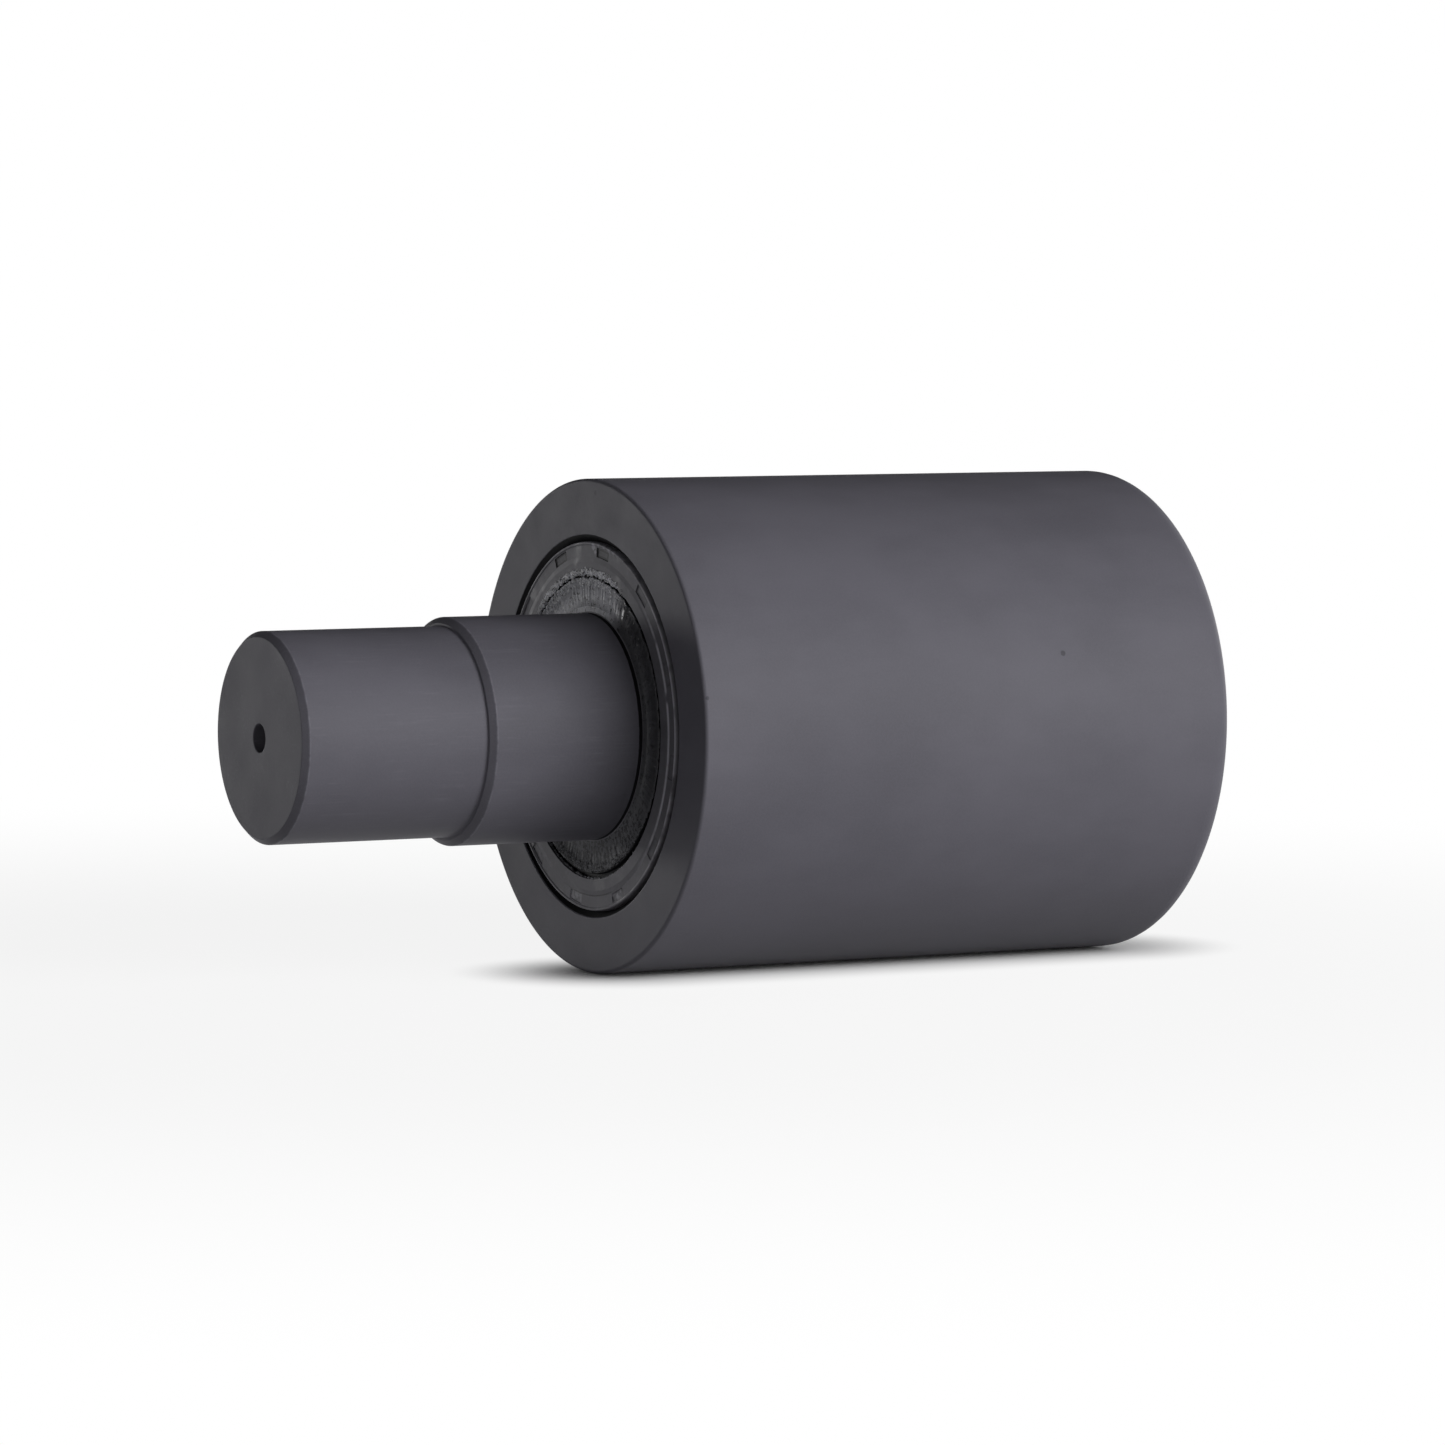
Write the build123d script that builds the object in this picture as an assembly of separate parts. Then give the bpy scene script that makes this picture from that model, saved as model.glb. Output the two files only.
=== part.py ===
"""Carrier roller of a small excavator: a cantilever shaft in a greased, ball-bearing roller.

Every piece is drawn about +Z, stations growing from the shaft shoulder into the roller,
and is laid down at the end so that the axis of rotation is +Y and +Z is up.
The origin is the centre of the shoulder plane, where the bracket's face meets the shaft.
Millimetres.
"""
import os
from math import asin, degrees, radians, tan
from build123d import *

# Shaft
STUB_DIAMETER = 35.0            # held by the track frame's bracket
STUB_LENGTH = 33.0
STUB_END_CHAMFER = 1.0
STUB_HOLE_DIAMETER = 4.7        # plain centre hole in the visible end
STUB_HOLE_DEPTH = 11.0
DRILL_POINT_ANGLE = 118.0
SEAT_DIAMETER = 38.0            # shoulder section, polished under the seal lips
SHOULDER_CHAMFER = 1.0
SHOULDER_TO_SHELL = 27.5        # shoulder plane to the roller's front face
JOURNAL_CHAMFER = 1.0
SHAFT_END_MARGIN = 3.0          # shaft beyond its circlip
CENTRE_HOLE_DIAMETER = 3.15     # 60 degree centre in the hidden end
CENTRE_HOLE_MOUTH = 6.7
CENTRE_HOLE_DEPTH = 8.0

# Deep groove ball bearings, 30 x 62 x 16
BEARING_BORE = 30.0
BEARING_OUTSIDE = 62.0          # the seal sits in the same bore
BEARING_WIDTH = 16.0
BEARING_CORNER = 1.0
BALL_COUNT = 9
BALL_DIAMETER = 9.525
RACE_CONFORMITY = 0.52          # groove radius over ball diameter
BALL_CLEARANCE = 0.02           # ball to raceway
RING_SHOULDER_OFFSET = 2.9      # pitch circle to the ring shoulders
CAGE_BAND = 3.4                 # radial width of the pressed ribbon
CAGE_THICKNESS = 0.8
POCKET_CLEARANCE = 0.15
RIVET_DIAMETER = 1.6
RIVET_HEAD_DIAMETER = 2.8
RIVET_HEAD_HEIGHT = 0.6
RIVET_HEAD_CHAMFER = 0.3

# Space between the bearings and behind them
RIB_HEIGHT = 4.0                # shoulders of the shell's rib over the bearing seats
SPACER_CLEARANCE = 0.1
SPACER_CHAMFER = 0.5
BEARING_TO_COVER = 11.0         # rear bearing to the end cover, room for the shaft's end

# Roller shell
SHELL_WALL = 10.5               # over the bearing seats, for a tread of 83
SHELL_LENGTH = 102.0
SHELL_FRONT_RADIUS = 1.5
SHELL_REAR_RADIUS = 4.6
MOUTH_CHAMFER = 1.2             # lead-in of the seal bore
REAR_MOUTH_CHAMFER = 0.8

# Shaft seal, 38 x 62 x 8
SEAL_WIDTH = 8.0
SEAL_TO_CIRCLIP = 1.0
SEAL_COVER = 0.9                # rubber over the steel case
SEAL_CASE_WALL = 0.8
SEAL_CASE_DEPTH = 1.3           # face of the seal to the case's flange
SEAL_CASE_BEND = 0.6
SEAL_CASE_END_COVER = 0.4
SEAL_FLANGE_OFFSET = 3.6        # shaft to the flange's inner edge
LIP_CLEARANCE = 0.05            # lips are drawn just clear of the turning seat
RIM_WIDTH = 0.4
RIM_CHAMFER = 0.3
CHANNEL_OUTER_OFFSET = 0.5      # bore to the moulded channel's outer edge
CHANNEL_INNER_OFFSET = 2.4
CHANNEL_DEPTH = 0.3
CHANNEL_SLOPE = 0.15
POCKET_COUNT = 12               # moulding pockets in the channel
POCKET_WIDTH = 4.3
POCKET_DEPTH = 0.45
POCKET_FIRST_ANGLE = 9.7
FLEX_GROOVE_SHARE = 0.42        # place of the groove between the flange's edge and the channel
FLEX_GROOVE_WIDTH = 0.7
FLEX_GROOVE_DEPTH = 0.9
DUST_LIP_DISH = 0.7
DUST_LIP_EDGE = 0.15
LIP_FLEX_WALL = 1.0
GARTER_DIAMETER = 1.6
GARTER_OFFSET = 2.35            # shaft to the spring's centre line
GARTER_STATION = 5.75           # seal face to the spring's centre plane

# Circlip that holds the front bearing in the shell
BEARING_CLIP_THICKNESS = 2.0
BEARING_CLIP_GROOVE_DEPTH = 1.5
BEARING_CLIP_WIDE = 5.5
BEARING_CLIP_NARROW = 3.2
BEARING_CLIP_REACH = 7.0

# Circlip on the shaft behind the rear bearing
SHAFT_CLIP_THICKNESS = 1.5
SHAFT_CLIP_GROOVE_DEPTH = 0.7
SHAFT_CLIP_WIDE = 3.5
SHAFT_CLIP_NARROW = 2.1
SHAFT_CLIP_REACH = 5.0

# End cover with its O-ring and circlip
COVER_SEAT_STEP = 1.5           # cover bore over the bearing bore
COVER_THICKNESS = 7.0
COVER_CLEARANCE = 0.05
COVER_CHAMFER = 0.6
COVER_CLIP_LAND = 3.5           # between the circlip groove and the shell's end
COVER_CLIP_THICKNESS = 2.5
COVER_CLIP_GROOVE_DEPTH = 1.5
COVER_CLIP_WIDE = 5.8
COVER_CLIP_NARROW = 3.4
COVER_CLIP_REACH = 7.4
O_RING_GROOVE_DEPTH = 2.0
O_RING_GROOVE_WIDTH = 3.2
SPOT_FACE_DIAMETER = 19.0
SPOT_FACE_DEPTH = 0.5

# Circlip features that all three share
CLIP_GROOVE_PLAY = 0.15
CLIP_LUG_RADIUS = 2.4
CLIP_HOLE_DIAMETER = 2.4
CLIP_GAP = 5.0

# Filler plug, M10 x 1 with a collar, and its copper washer
PLUG_THREAD_DIAMETER = 10.0
PLUG_THREAD_LENGTH = 7.5
PLUG_COLLAR_DIAMETER = 14.0
PLUG_COLLAR_HEIGHT = 3.0
PLUG_SOCKET = 5.0
PLUG_SOCKET_DEPTH = 4.5
PLUG_CHAMFER = 0.6
WASHER_THICKNESS = 1.2
WASHER_DIAMETER = 14.0

# Radii and stations that follow from the sizes above
STUB_RADIUS = STUB_DIAMETER / 2
SEAT_RADIUS = SEAT_DIAMETER / 2
JOURNAL_RADIUS = BEARING_BORE / 2
HOUSING_RADIUS = BEARING_OUTSIDE / 2
SHELL_RADIUS = HOUSING_RADIUS + SHELL_WALL
COVER_RADIUS = HOUSING_RADIUS + COVER_SEAT_STEP
RIB_RADIUS = HOUSING_RADIUS - RIB_HEIGHT
BEARING_CLIP_RADIUS = HOUSING_RADIUS + BEARING_CLIP_GROOVE_DEPTH
COVER_CLIP_RADIUS = COVER_RADIUS + COVER_CLIP_GROOVE_DEPTH
SHAFT_CLIP_RADIUS = JOURNAL_RADIUS - SHAFT_CLIP_GROOVE_DEPTH
PITCH_RADIUS = (BEARING_BORE + BEARING_OUTSIDE) / 4
BALL_RADIUS = BALL_DIAMETER / 2
SHELL_FRONT = SHOULDER_TO_SHELL
SHELL_REAR = SHELL_FRONT + SHELL_LENGTH
SEAL_BACK = SHELL_FRONT + SEAL_WIDTH
BEARING_CLIP_START = SEAL_BACK + SEAL_TO_CIRCLIP
FRONT_BEARING_START = BEARING_CLIP_START + BEARING_CLIP_THICKNESS
FRONT_BEARING_END = FRONT_BEARING_START + BEARING_WIDTH
COVER_CLIP_END = SHELL_REAR - COVER_CLIP_LAND
COVER_OUTSIDE = COVER_CLIP_END - COVER_CLIP_THICKNESS
COVER_INSIDE = COVER_OUTSIDE - COVER_THICKNESS
REAR_BEARING_END = COVER_INSIDE - BEARING_TO_COVER
REAR_BEARING_START = REAR_BEARING_END - BEARING_WIDTH
SHAFT_END = REAR_BEARING_END + SHAFT_CLIP_THICKNESS + SHAFT_END_MARGIN
SPOT_FACE = COVER_OUTSIDE - SPOT_FACE_DEPTH


def turned(*points):
    """Solid of revolution through (radius, station) points."""
    outline = make_face(Polyline(*points, close=True))
    return revolve(Plane.XZ * outline, Axis.Z)


def sleeve(inner, outer, start, end, chamfer_inner=0.0, chamfer_outer=0.0):
    """Plain ring with its bore and rim edges broken."""
    ring = turned((inner, start), (outer, start), (outer, end), (inner, end))
    circles = ring.edges().filter_by(GeomType.CIRCLE).sort_by(SortBy.RADIUS)
    if chamfer_inner:
        ring = chamfer(circles[:2], chamfer_inner)
        circles = ring.edges().filter_by(GeomType.CIRCLE).sort_by(SortBy.RADIUS)
    if chamfer_outer:
        ring = chamfer(circles[-2:], chamfer_outer)
    return ring


def round_groove(pitch_radius, section_radius, station):
    """Torus about the axis, for raceways, the O-ring and the garter spring."""
    return Pos(0, 0, station) * Torus(pitch_radius, section_radius)


def circlip(seat_radius, wide, narrow, reach_radius, thickness, start, outward):
    """Tapered spring ring with two drilled lugs; its gap is on the local +Y side."""
    mean = (wide + narrow) / 2
    shift = (wide - narrow) / 2
    if outward:
        body = Pos(0, -shift) * Circle(seat_radius + mean) - Circle(seat_radius)
        lug_centre = reach_radius - CLIP_LUG_RADIUS
        root = seat_radius + narrow / 2
    else:
        body = Circle(seat_radius) - Pos(0, shift) * Circle(seat_radius - mean)
        lug_centre = reach_radius + CLIP_LUG_RADIUS
        root = seat_radius - narrow / 2
    lug_turn = degrees(asin((CLIP_GAP / 2 + CLIP_LUG_RADIUS) / lug_centre))
    neck = Pos(0, (lug_centre + root) / 2) * Rectangle(2 * CLIP_LUG_RADIUS, abs(root - lug_centre))
    lug = Pos(0, lug_centre) * Circle(CLIP_LUG_RADIUS) + neck
    hole = Pos(0, lug_centre) * Circle(CLIP_HOLE_DIAMETER / 2)
    gap = Pos(0, seat_radius) * Rectangle(CLIP_GAP, 2 * wide + 2 * CLIP_LUG_RADIUS)
    ring = body - gap
    for side in (-1, 1):
        ring += Rot(0, 0, side * lug_turn) * lug
    for side in (-1, 1):
        ring -= Rot(0, 0, side * lug_turn) * hole
    return extrude(Pos(0, 0, start) * ring, thickness)


def shaft():
    """One turned forging: stub, shoulder section under the seal, bearing journal."""
    groove_start = REAR_BEARING_END
    groove_end = groove_start + SHAFT_CLIP_THICKNESS + CLIP_GROOVE_PLAY
    chamfer_foot = SEAT_RADIUS - SHOULDER_CHAMFER
    body = turned(
        (0, -STUB_LENGTH),
        (STUB_RADIUS - STUB_END_CHAMFER, -STUB_LENGTH),
        (STUB_RADIUS, -STUB_LENGTH + STUB_END_CHAMFER),
        (STUB_RADIUS, 0),
        (chamfer_foot, 0),
        (SEAT_RADIUS, SHOULDER_CHAMFER),
        (SEAT_RADIUS, FRONT_BEARING_START),
        (JOURNAL_RADIUS, FRONT_BEARING_START),
        (JOURNAL_RADIUS, groove_start),
        (SHAFT_CLIP_RADIUS, groove_start),
        (SHAFT_CLIP_RADIUS, groove_end),
        (JOURNAL_RADIUS, groove_end),
        (JOURNAL_RADIUS, SHAFT_END - JOURNAL_CHAMFER),
        (JOURNAL_RADIUS - JOURNAL_CHAMFER, SHAFT_END),
        (0, SHAFT_END),
    )
    hole_radius = STUB_HOLE_DIAMETER / 2
    drill_tip = hole_radius / tan(radians(DRILL_POINT_ANGLE / 2))
    hole_floor = -STUB_LENGTH + STUB_HOLE_DEPTH
    body -= turned(
        (0, -STUB_LENGTH),
        (hole_radius, -STUB_LENGTH),
        (hole_radius, hole_floor),
        (0, hole_floor + drill_tip),
    )
    centre_radius = CENTRE_HOLE_DIAMETER / 2
    mouth_radius = CENTRE_HOLE_MOUTH / 2
    cone_depth = (mouth_radius - centre_radius) / tan(radians(30))
    body -= turned(
        (0, SHAFT_END),
        (mouth_radius, SHAFT_END),
        (centre_radius, SHAFT_END - cone_depth),
        (centre_radius, SHAFT_END - CENTRE_HOLE_DEPTH),
        (0, SHAFT_END - CENTRE_HOLE_DEPTH - centre_radius),
    )
    return body


def roller_shell():
    """Thick-walled shell: seal bore, two bearing seats either side of a rib, cover seat."""
    rear_land = SHELL_RADIUS - COVER_RADIUS - REAR_MOUTH_CHAMFER
    front_land = SHELL_RADIUS - HOUSING_RADIUS - MOUTH_CHAMFER
    body = turned(
        (HOUSING_RADIUS + MOUTH_CHAMFER, SHELL_FRONT),
        (SHELL_RADIUS, SHELL_FRONT),
        (SHELL_RADIUS, SHELL_REAR),
        (COVER_RADIUS + REAR_MOUTH_CHAMFER, SHELL_REAR),
        (COVER_RADIUS, SHELL_REAR - REAR_MOUTH_CHAMFER),
        (COVER_RADIUS, COVER_CLIP_END),
        (COVER_CLIP_RADIUS, COVER_CLIP_END),
        (COVER_CLIP_RADIUS, COVER_OUTSIDE - CLIP_GROOVE_PLAY),
        (COVER_RADIUS, COVER_OUTSIDE - CLIP_GROOVE_PLAY),
        (COVER_RADIUS, COVER_INSIDE),
        (HOUSING_RADIUS, COVER_INSIDE),
        (HOUSING_RADIUS, REAR_BEARING_START),
        (RIB_RADIUS, REAR_BEARING_START),
        (RIB_RADIUS, FRONT_BEARING_END),
        (HOUSING_RADIUS, FRONT_BEARING_END),
        (HOUSING_RADIUS, FRONT_BEARING_START),
        (BEARING_CLIP_RADIUS, FRONT_BEARING_START),
        (BEARING_CLIP_RADIUS, BEARING_CLIP_START - CLIP_GROOVE_PLAY),
        (HOUSING_RADIUS, BEARING_CLIP_START - CLIP_GROOVE_PLAY),
        (HOUSING_RADIUS, SHELL_FRONT + MOUTH_CHAMFER),
    )
    rims = body.edges().filter_by(GeomType.CIRCLE)
    outer_rims = rims.sort_by(SortBy.RADIUS)[-2:].sort_by(Axis.Z)
    body = fillet(outer_rims[-1], min(SHELL_REAR_RADIUS, 0.9 * rear_land))
    rims = body.edges().filter_by(GeomType.CIRCLE)
    front_rim = rims.filter_by_position(Axis.Z, SHELL_FRONT, SHELL_FRONT).sort_by(SortBy.RADIUS)[-1]
    return fillet(front_rim, min(SHELL_FRONT_RADIUS, 0.9 * front_land))


def inner_ring(start):
    """Bearing ring that stays with the shaft."""
    middle = start + BEARING_WIDTH / 2
    shoulder = PITCH_RADIUS - RING_SHOULDER_OFFSET
    race_radius = RACE_CONFORMITY * BALL_DIAMETER
    race_centre = PITCH_RADIUS - BALL_RADIUS - BALL_CLEARANCE + race_radius
    ring = sleeve(JOURNAL_RADIUS, shoulder, start, start + BEARING_WIDTH, BEARING_CORNER, 0.0)
    return ring - round_groove(race_centre, race_radius, middle)


def outer_ring(start):
    """Bearing ring that turns with the shell."""
    middle = start + BEARING_WIDTH / 2
    shoulder = PITCH_RADIUS + RING_SHOULDER_OFFSET
    race_radius = RACE_CONFORMITY * BALL_DIAMETER
    race_centre = PITCH_RADIUS + BALL_RADIUS + BALL_CLEARANCE - race_radius
    ring = sleeve(shoulder, HOUSING_RADIUS, start, start + BEARING_WIDTH, 0.0, BEARING_CORNER)
    return ring - round_groove(race_centre, race_radius, middle)


def balls(start):
    """The bearing's ring of balls on the pitch circle."""
    places = PolarLocations(PITCH_RADIUS, BALL_COUNT)
    middle = Pos(0, 0, start + BEARING_WIDTH / 2)
    return [middle * place * Sphere(BALL_RADIUS) for place in places]


def cage_half(start, side):
    """Pressed ribbon with a spherical pocket over each ball and a riveted land between."""
    pocket_radius = BALL_RADIUS + POCKET_CLEARANCE
    crown_radius = pocket_radius + CAGE_THICKNESS
    inner = PITCH_RADIUS - CAGE_BAND / 2
    outer = PITCH_RADIUS + CAGE_BAND / 2
    band = sleeve(inner, outer, 0, crown_radius)
    half = sleeve(inner, outer, 0, CAGE_THICKNESS)
    for place in PolarLocations(PITCH_RADIUS, BALL_COUNT):
        half += band & (place * Sphere(crown_radius))
    for place in PolarLocations(PITCH_RADIUS, BALL_COUNT):
        half -= place * Sphere(pocket_radius)
    for place in PolarLocations(PITCH_RADIUS, BALL_COUNT, start_angle=180 / BALL_COUNT):
        half -= place * Cylinder(RIVET_DIAMETER / 2, 4 * CAGE_THICKNESS)
    if side < 0:
        half = Rot(180, 0, 0) * half
    return Pos(0, 0, start + BEARING_WIDTH / 2) * half


def rivets(start):
    """Rivets through the lands of both cage halves."""
    shank = RIVET_DIAMETER / 2
    head = RIVET_HEAD_DIAMETER / 2
    top = CAGE_THICKNESS + RIVET_HEAD_HEIGHT
    rivet = turned(
        (0, -top),
        (head - RIVET_HEAD_CHAMFER, -top),
        (head, -top + RIVET_HEAD_CHAMFER),
        (head, -CAGE_THICKNESS),
        (shank, -CAGE_THICKNESS),
        (shank, CAGE_THICKNESS),
        (head, CAGE_THICKNESS),
        (head, top - RIVET_HEAD_CHAMFER),
        (head - RIVET_HEAD_CHAMFER, top),
        (0, top),
    )
    places = PolarLocations(PITCH_RADIUS, BALL_COUNT, start_angle=180 / BALL_COUNT)
    middle = Pos(0, 0, start + BEARING_WIDTH / 2)
    return [middle * place * rivet for place in places]


def bearing_spacer():
    """Sleeve that holds the two inner rings apart."""
    bore = JOURNAL_RADIUS + SPACER_CLEARANCE
    broken_edge = min(SPACER_CHAMFER, (SEAT_RADIUS - bore) / 3)
    return sleeve(bore, SEAT_RADIUS, FRONT_BEARING_END, REAR_BEARING_START, broken_edge, broken_edge)


def bearing_circlip():
    """Internal circlip between the seal and the front bearing."""
    return circlip(BEARING_CLIP_RADIUS, BEARING_CLIP_WIDE, BEARING_CLIP_NARROW,
                   HOUSING_RADIUS - BEARING_CLIP_REACH, BEARING_CLIP_THICKNESS,
                   BEARING_CLIP_START, False)


def shaft_circlip():
    """External circlip that keeps both inner rings on the shaft."""
    return circlip(SHAFT_CLIP_RADIUS, SHAFT_CLIP_WIDE, SHAFT_CLIP_NARROW,
                   JOURNAL_RADIUS + SHAFT_CLIP_REACH, SHAFT_CLIP_THICKNESS,
                   REAR_BEARING_END, True)


def end_cover_circlip():
    """Internal circlip that holds the end cover against its seat."""
    return circlip(COVER_CLIP_RADIUS, COVER_CLIP_WIDE, COVER_CLIP_NARROW,
                   COVER_RADIUS - COVER_CLIP_REACH, COVER_CLIP_THICKNESS,
                   COVER_OUTSIDE, False)


def seal_case():
    """Pressed steel L-ring inside the seal."""
    wall_outer = HOUSING_RADIUS - SEAL_COVER
    wall_inner = wall_outer - SEAL_CASE_WALL
    flange_inner = SEAT_RADIUS + SEAL_FLANGE_OFFSET
    flange_front = SHELL_FRONT + SEAL_CASE_DEPTH
    flange_back = flange_front + SEAL_CASE_WALL
    wall_end = SEAL_BACK - SEAL_CASE_END_COVER
    case = turned(
        (flange_inner, flange_front),
        (wall_outer, flange_front),
        (wall_outer, wall_end),
        (wall_inner, wall_end),
        (wall_inner, flange_back),
        (flange_inner, flange_back),
    )
    corners = case.edges().filter_by(GeomType.CIRCLE)
    bend = corners.filter_by_position(Axis.Z, flange_front, flange_front).sort_by(SortBy.RADIUS)[-1]
    return fillet(bend, SEAL_CASE_BEND)


def garter_spring():
    """Closed coil spring that presses the main lip, drawn as its envelope."""
    return round_groove(SEAT_RADIUS + GARTER_OFFSET, GARTER_DIAMETER / 2,
                        SHELL_FRONT + GARTER_STATION)


def seal_outline():
    """Half section of the moulded rubber, in (radius, depth below the seal face)."""
    rim = HOUSING_RADIUS
    lip = SEAT_RADIUS + LIP_CLEARANCE
    case_middle = HOUSING_RADIUS - SEAL_COVER - SEAL_CASE_WALL / 2
    case_inside = case_middle - SEAL_CASE_WALL / 2
    flange_middle = SEAL_CASE_DEPTH + SEAL_CASE_WALL / 2
    flange_back = SEAL_CASE_DEPTH + SEAL_CASE_WALL
    channel_outer = rim - CHANNEL_OUTER_OFFSET
    channel_inner = rim - CHANNEL_INNER_OFFSET
    flange_inner = SEAT_RADIUS + SEAL_FLANGE_OFFSET
    groove_middle = flange_inner + FLEX_GROOVE_SHARE * (channel_inner - flange_inner)
    groove_outer = groove_middle + FLEX_GROOVE_WIDTH / 2
    groove_inner = groove_outer - FLEX_GROOVE_WIDTH
    dish_outer = groove_inner - CHANNEL_SLOPE
    dish_middle = (dish_outer + lip) / 2
    flex_outer = flange_inner - LIP_FLEX_WALL / 2
    flex_inner = flex_outer - LIP_FLEX_WALL
    bead_outer = SEAT_RADIUS + GARTER_OFFSET + GARTER_DIAMETER / 4
    bead_end = GARTER_STATION + GARTER_DIAMETER / 2 + CHANNEL_DEPTH
    lip_edge = GARTER_STATION - GARTER_DIAMETER / 3
    bead_start = GARTER_STATION - GARTER_DIAMETER / 2 - CHANNEL_DEPTH
    face = Polyline(
        (case_inside, SEAL_WIDTH - 2 * SEAL_CASE_END_COVER),
        (case_inside, SEAL_WIDTH),
        (rim - RIM_CHAMFER, SEAL_WIDTH),
        (rim, SEAL_WIDTH - RIM_CHAMFER),
        (rim, RIM_WIDTH),
        (rim - CHANNEL_SLOPE, 0),
        (channel_outer, 0),
        (channel_outer - CHANNEL_SLOPE, CHANNEL_DEPTH),
        (channel_inner + CHANNEL_SLOPE, CHANNEL_DEPTH),
        (channel_inner, 0),
        (groove_outer + CHANNEL_SLOPE, 0),
        (groove_outer, FLEX_GROOVE_DEPTH),
        (groove_inner, FLEX_GROOVE_DEPTH),
        (dish_outer, DUST_LIP_EDGE),
    )
    dish = ThreePointArc((dish_outer, DUST_LIP_EDGE), (dish_middle, DUST_LIP_DISH), (lip, DUST_LIP_EDGE))
    lips = Polyline(
        (lip, DUST_LIP_EDGE),
        (lip, 3 * DUST_LIP_EDGE),
        (flex_inner - LIP_FLEX_WALL / 3, flange_middle),
        (flex_inner, flange_back + LIP_FLEX_WALL),
        (flex_inner - LIP_FLEX_WALL / 3, lip_edge - LIP_FLEX_WALL),
        (lip, lip_edge),
        (lip + LIP_FLEX_WALL, bead_end),
        (bead_outer, bead_end),
        (bead_outer, bead_start),
        (flex_outer, flange_back + LIP_FLEX_WALL),
        (flex_outer + LIP_FLEX_WALL, flange_back + LIP_FLEX_WALL / 2),
        (flex_outer + 1.5 * LIP_FLEX_WALL, flange_back),
        (flex_outer + 1.5 * LIP_FLEX_WALL, flange_middle),
        (case_middle, flange_middle),
        (case_middle, SEAL_WIDTH - 2 * SEAL_CASE_END_COVER),
        (case_inside, SEAL_WIDTH - 2 * SEAL_CASE_END_COVER),
    )
    return make_face(face.edges() + dish.edges() + lips.edges())


def seal_rubber():
    """Moulded seal: covered rim, pocketed channel, dust lip and spring-loaded main lip."""
    body = Pos(0, 0, SHELL_FRONT) * revolve(Plane.XZ * seal_outline(), Axis.Z)
    body -= seal_case()
    body -= garter_spring()
    channel_middle = HOUSING_RADIUS - (CHANNEL_OUTER_OFFSET + CHANNEL_INNER_OFFSET) / 2
    channel_width = CHANNEL_INNER_OFFSET - CHANNEL_OUTER_OFFSET
    pocket = Box(channel_width - 2 * CHANNEL_SLOPE, POCKET_WIDTH, 2 * POCKET_DEPTH)
    floor = Pos(0, 0, SHELL_FRONT + CHANNEL_DEPTH)
    for place in PolarLocations(channel_middle, POCKET_COUNT, start_angle=POCKET_FIRST_ANGLE):
        body -= floor * place * pocket
    return body


def o_ring_section():
    """Section radius of the O-ring as squeezed between the groove floor and the shell."""
    return (O_RING_GROOVE_DEPTH + COVER_CLEARANCE) / 2


def end_cover():
    """Turned disc with an O-ring groove round its rim and a tapped filler hole."""
    rim = COVER_RADIUS - COVER_CLEARANCE
    middle = (COVER_INSIDE + COVER_OUTSIDE) / 2
    groove = rim - O_RING_GROOVE_DEPTH
    cover = turned(
        (PLUG_THREAD_DIAMETER / 2, COVER_INSIDE),
        (rim - COVER_CHAMFER, COVER_INSIDE),
        (rim, COVER_INSIDE + COVER_CHAMFER),
        (rim, middle - O_RING_GROOVE_WIDTH / 2),
        (groove, middle - O_RING_GROOVE_WIDTH / 2),
        (groove, middle + O_RING_GROOVE_WIDTH / 2),
        (rim, middle + O_RING_GROOVE_WIDTH / 2),
        (rim, COVER_OUTSIDE - COVER_CHAMFER),
        (rim - COVER_CHAMFER, COVER_OUTSIDE),
        (SPOT_FACE_DIAMETER / 2, COVER_OUTSIDE),
        (SPOT_FACE_DIAMETER / 2, SPOT_FACE),
        (PLUG_THREAD_DIAMETER / 2, SPOT_FACE),
    )
    return cover


def end_cover_o_ring():
    """O-ring in the end cover's groove."""
    centre = COVER_RADIUS - o_ring_section()
    return round_groove(centre, o_ring_section(), (COVER_INSIDE + COVER_OUTSIDE) / 2)


def filler_plug_washer():
    """Copper sealing washer under the plug's collar."""
    return sleeve(PLUG_THREAD_DIAMETER / 2, WASHER_DIAMETER / 2,
                  SPOT_FACE, SPOT_FACE + WASHER_THICKNESS)


def filler_plug():
    """Collared screw plug with a hexagon socket."""
    collar_start = SPOT_FACE + WASHER_THICKNESS
    collar_end = collar_start + PLUG_COLLAR_HEIGHT
    thread_end = collar_start - PLUG_THREAD_LENGTH
    thread = PLUG_THREAD_DIAMETER / 2
    collar = PLUG_COLLAR_DIAMETER / 2
    plug = turned(
        (0, thread_end),
        (thread - PLUG_CHAMFER, thread_end),
        (thread, thread_end + PLUG_CHAMFER),
        (thread, collar_start),
        (collar, collar_start),
        (collar, collar_end - PLUG_CHAMFER),
        (collar - PLUG_CHAMFER, collar_end),
        (0, collar_end),
    )
    hexagon = RegularPolygon(PLUG_SOCKET / 2, 6, major_radius=False)
    return plug - extrude(Pos(0, 0, collar_end) * hexagon, -PLUG_SOCKET_DEPTH)


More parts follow.
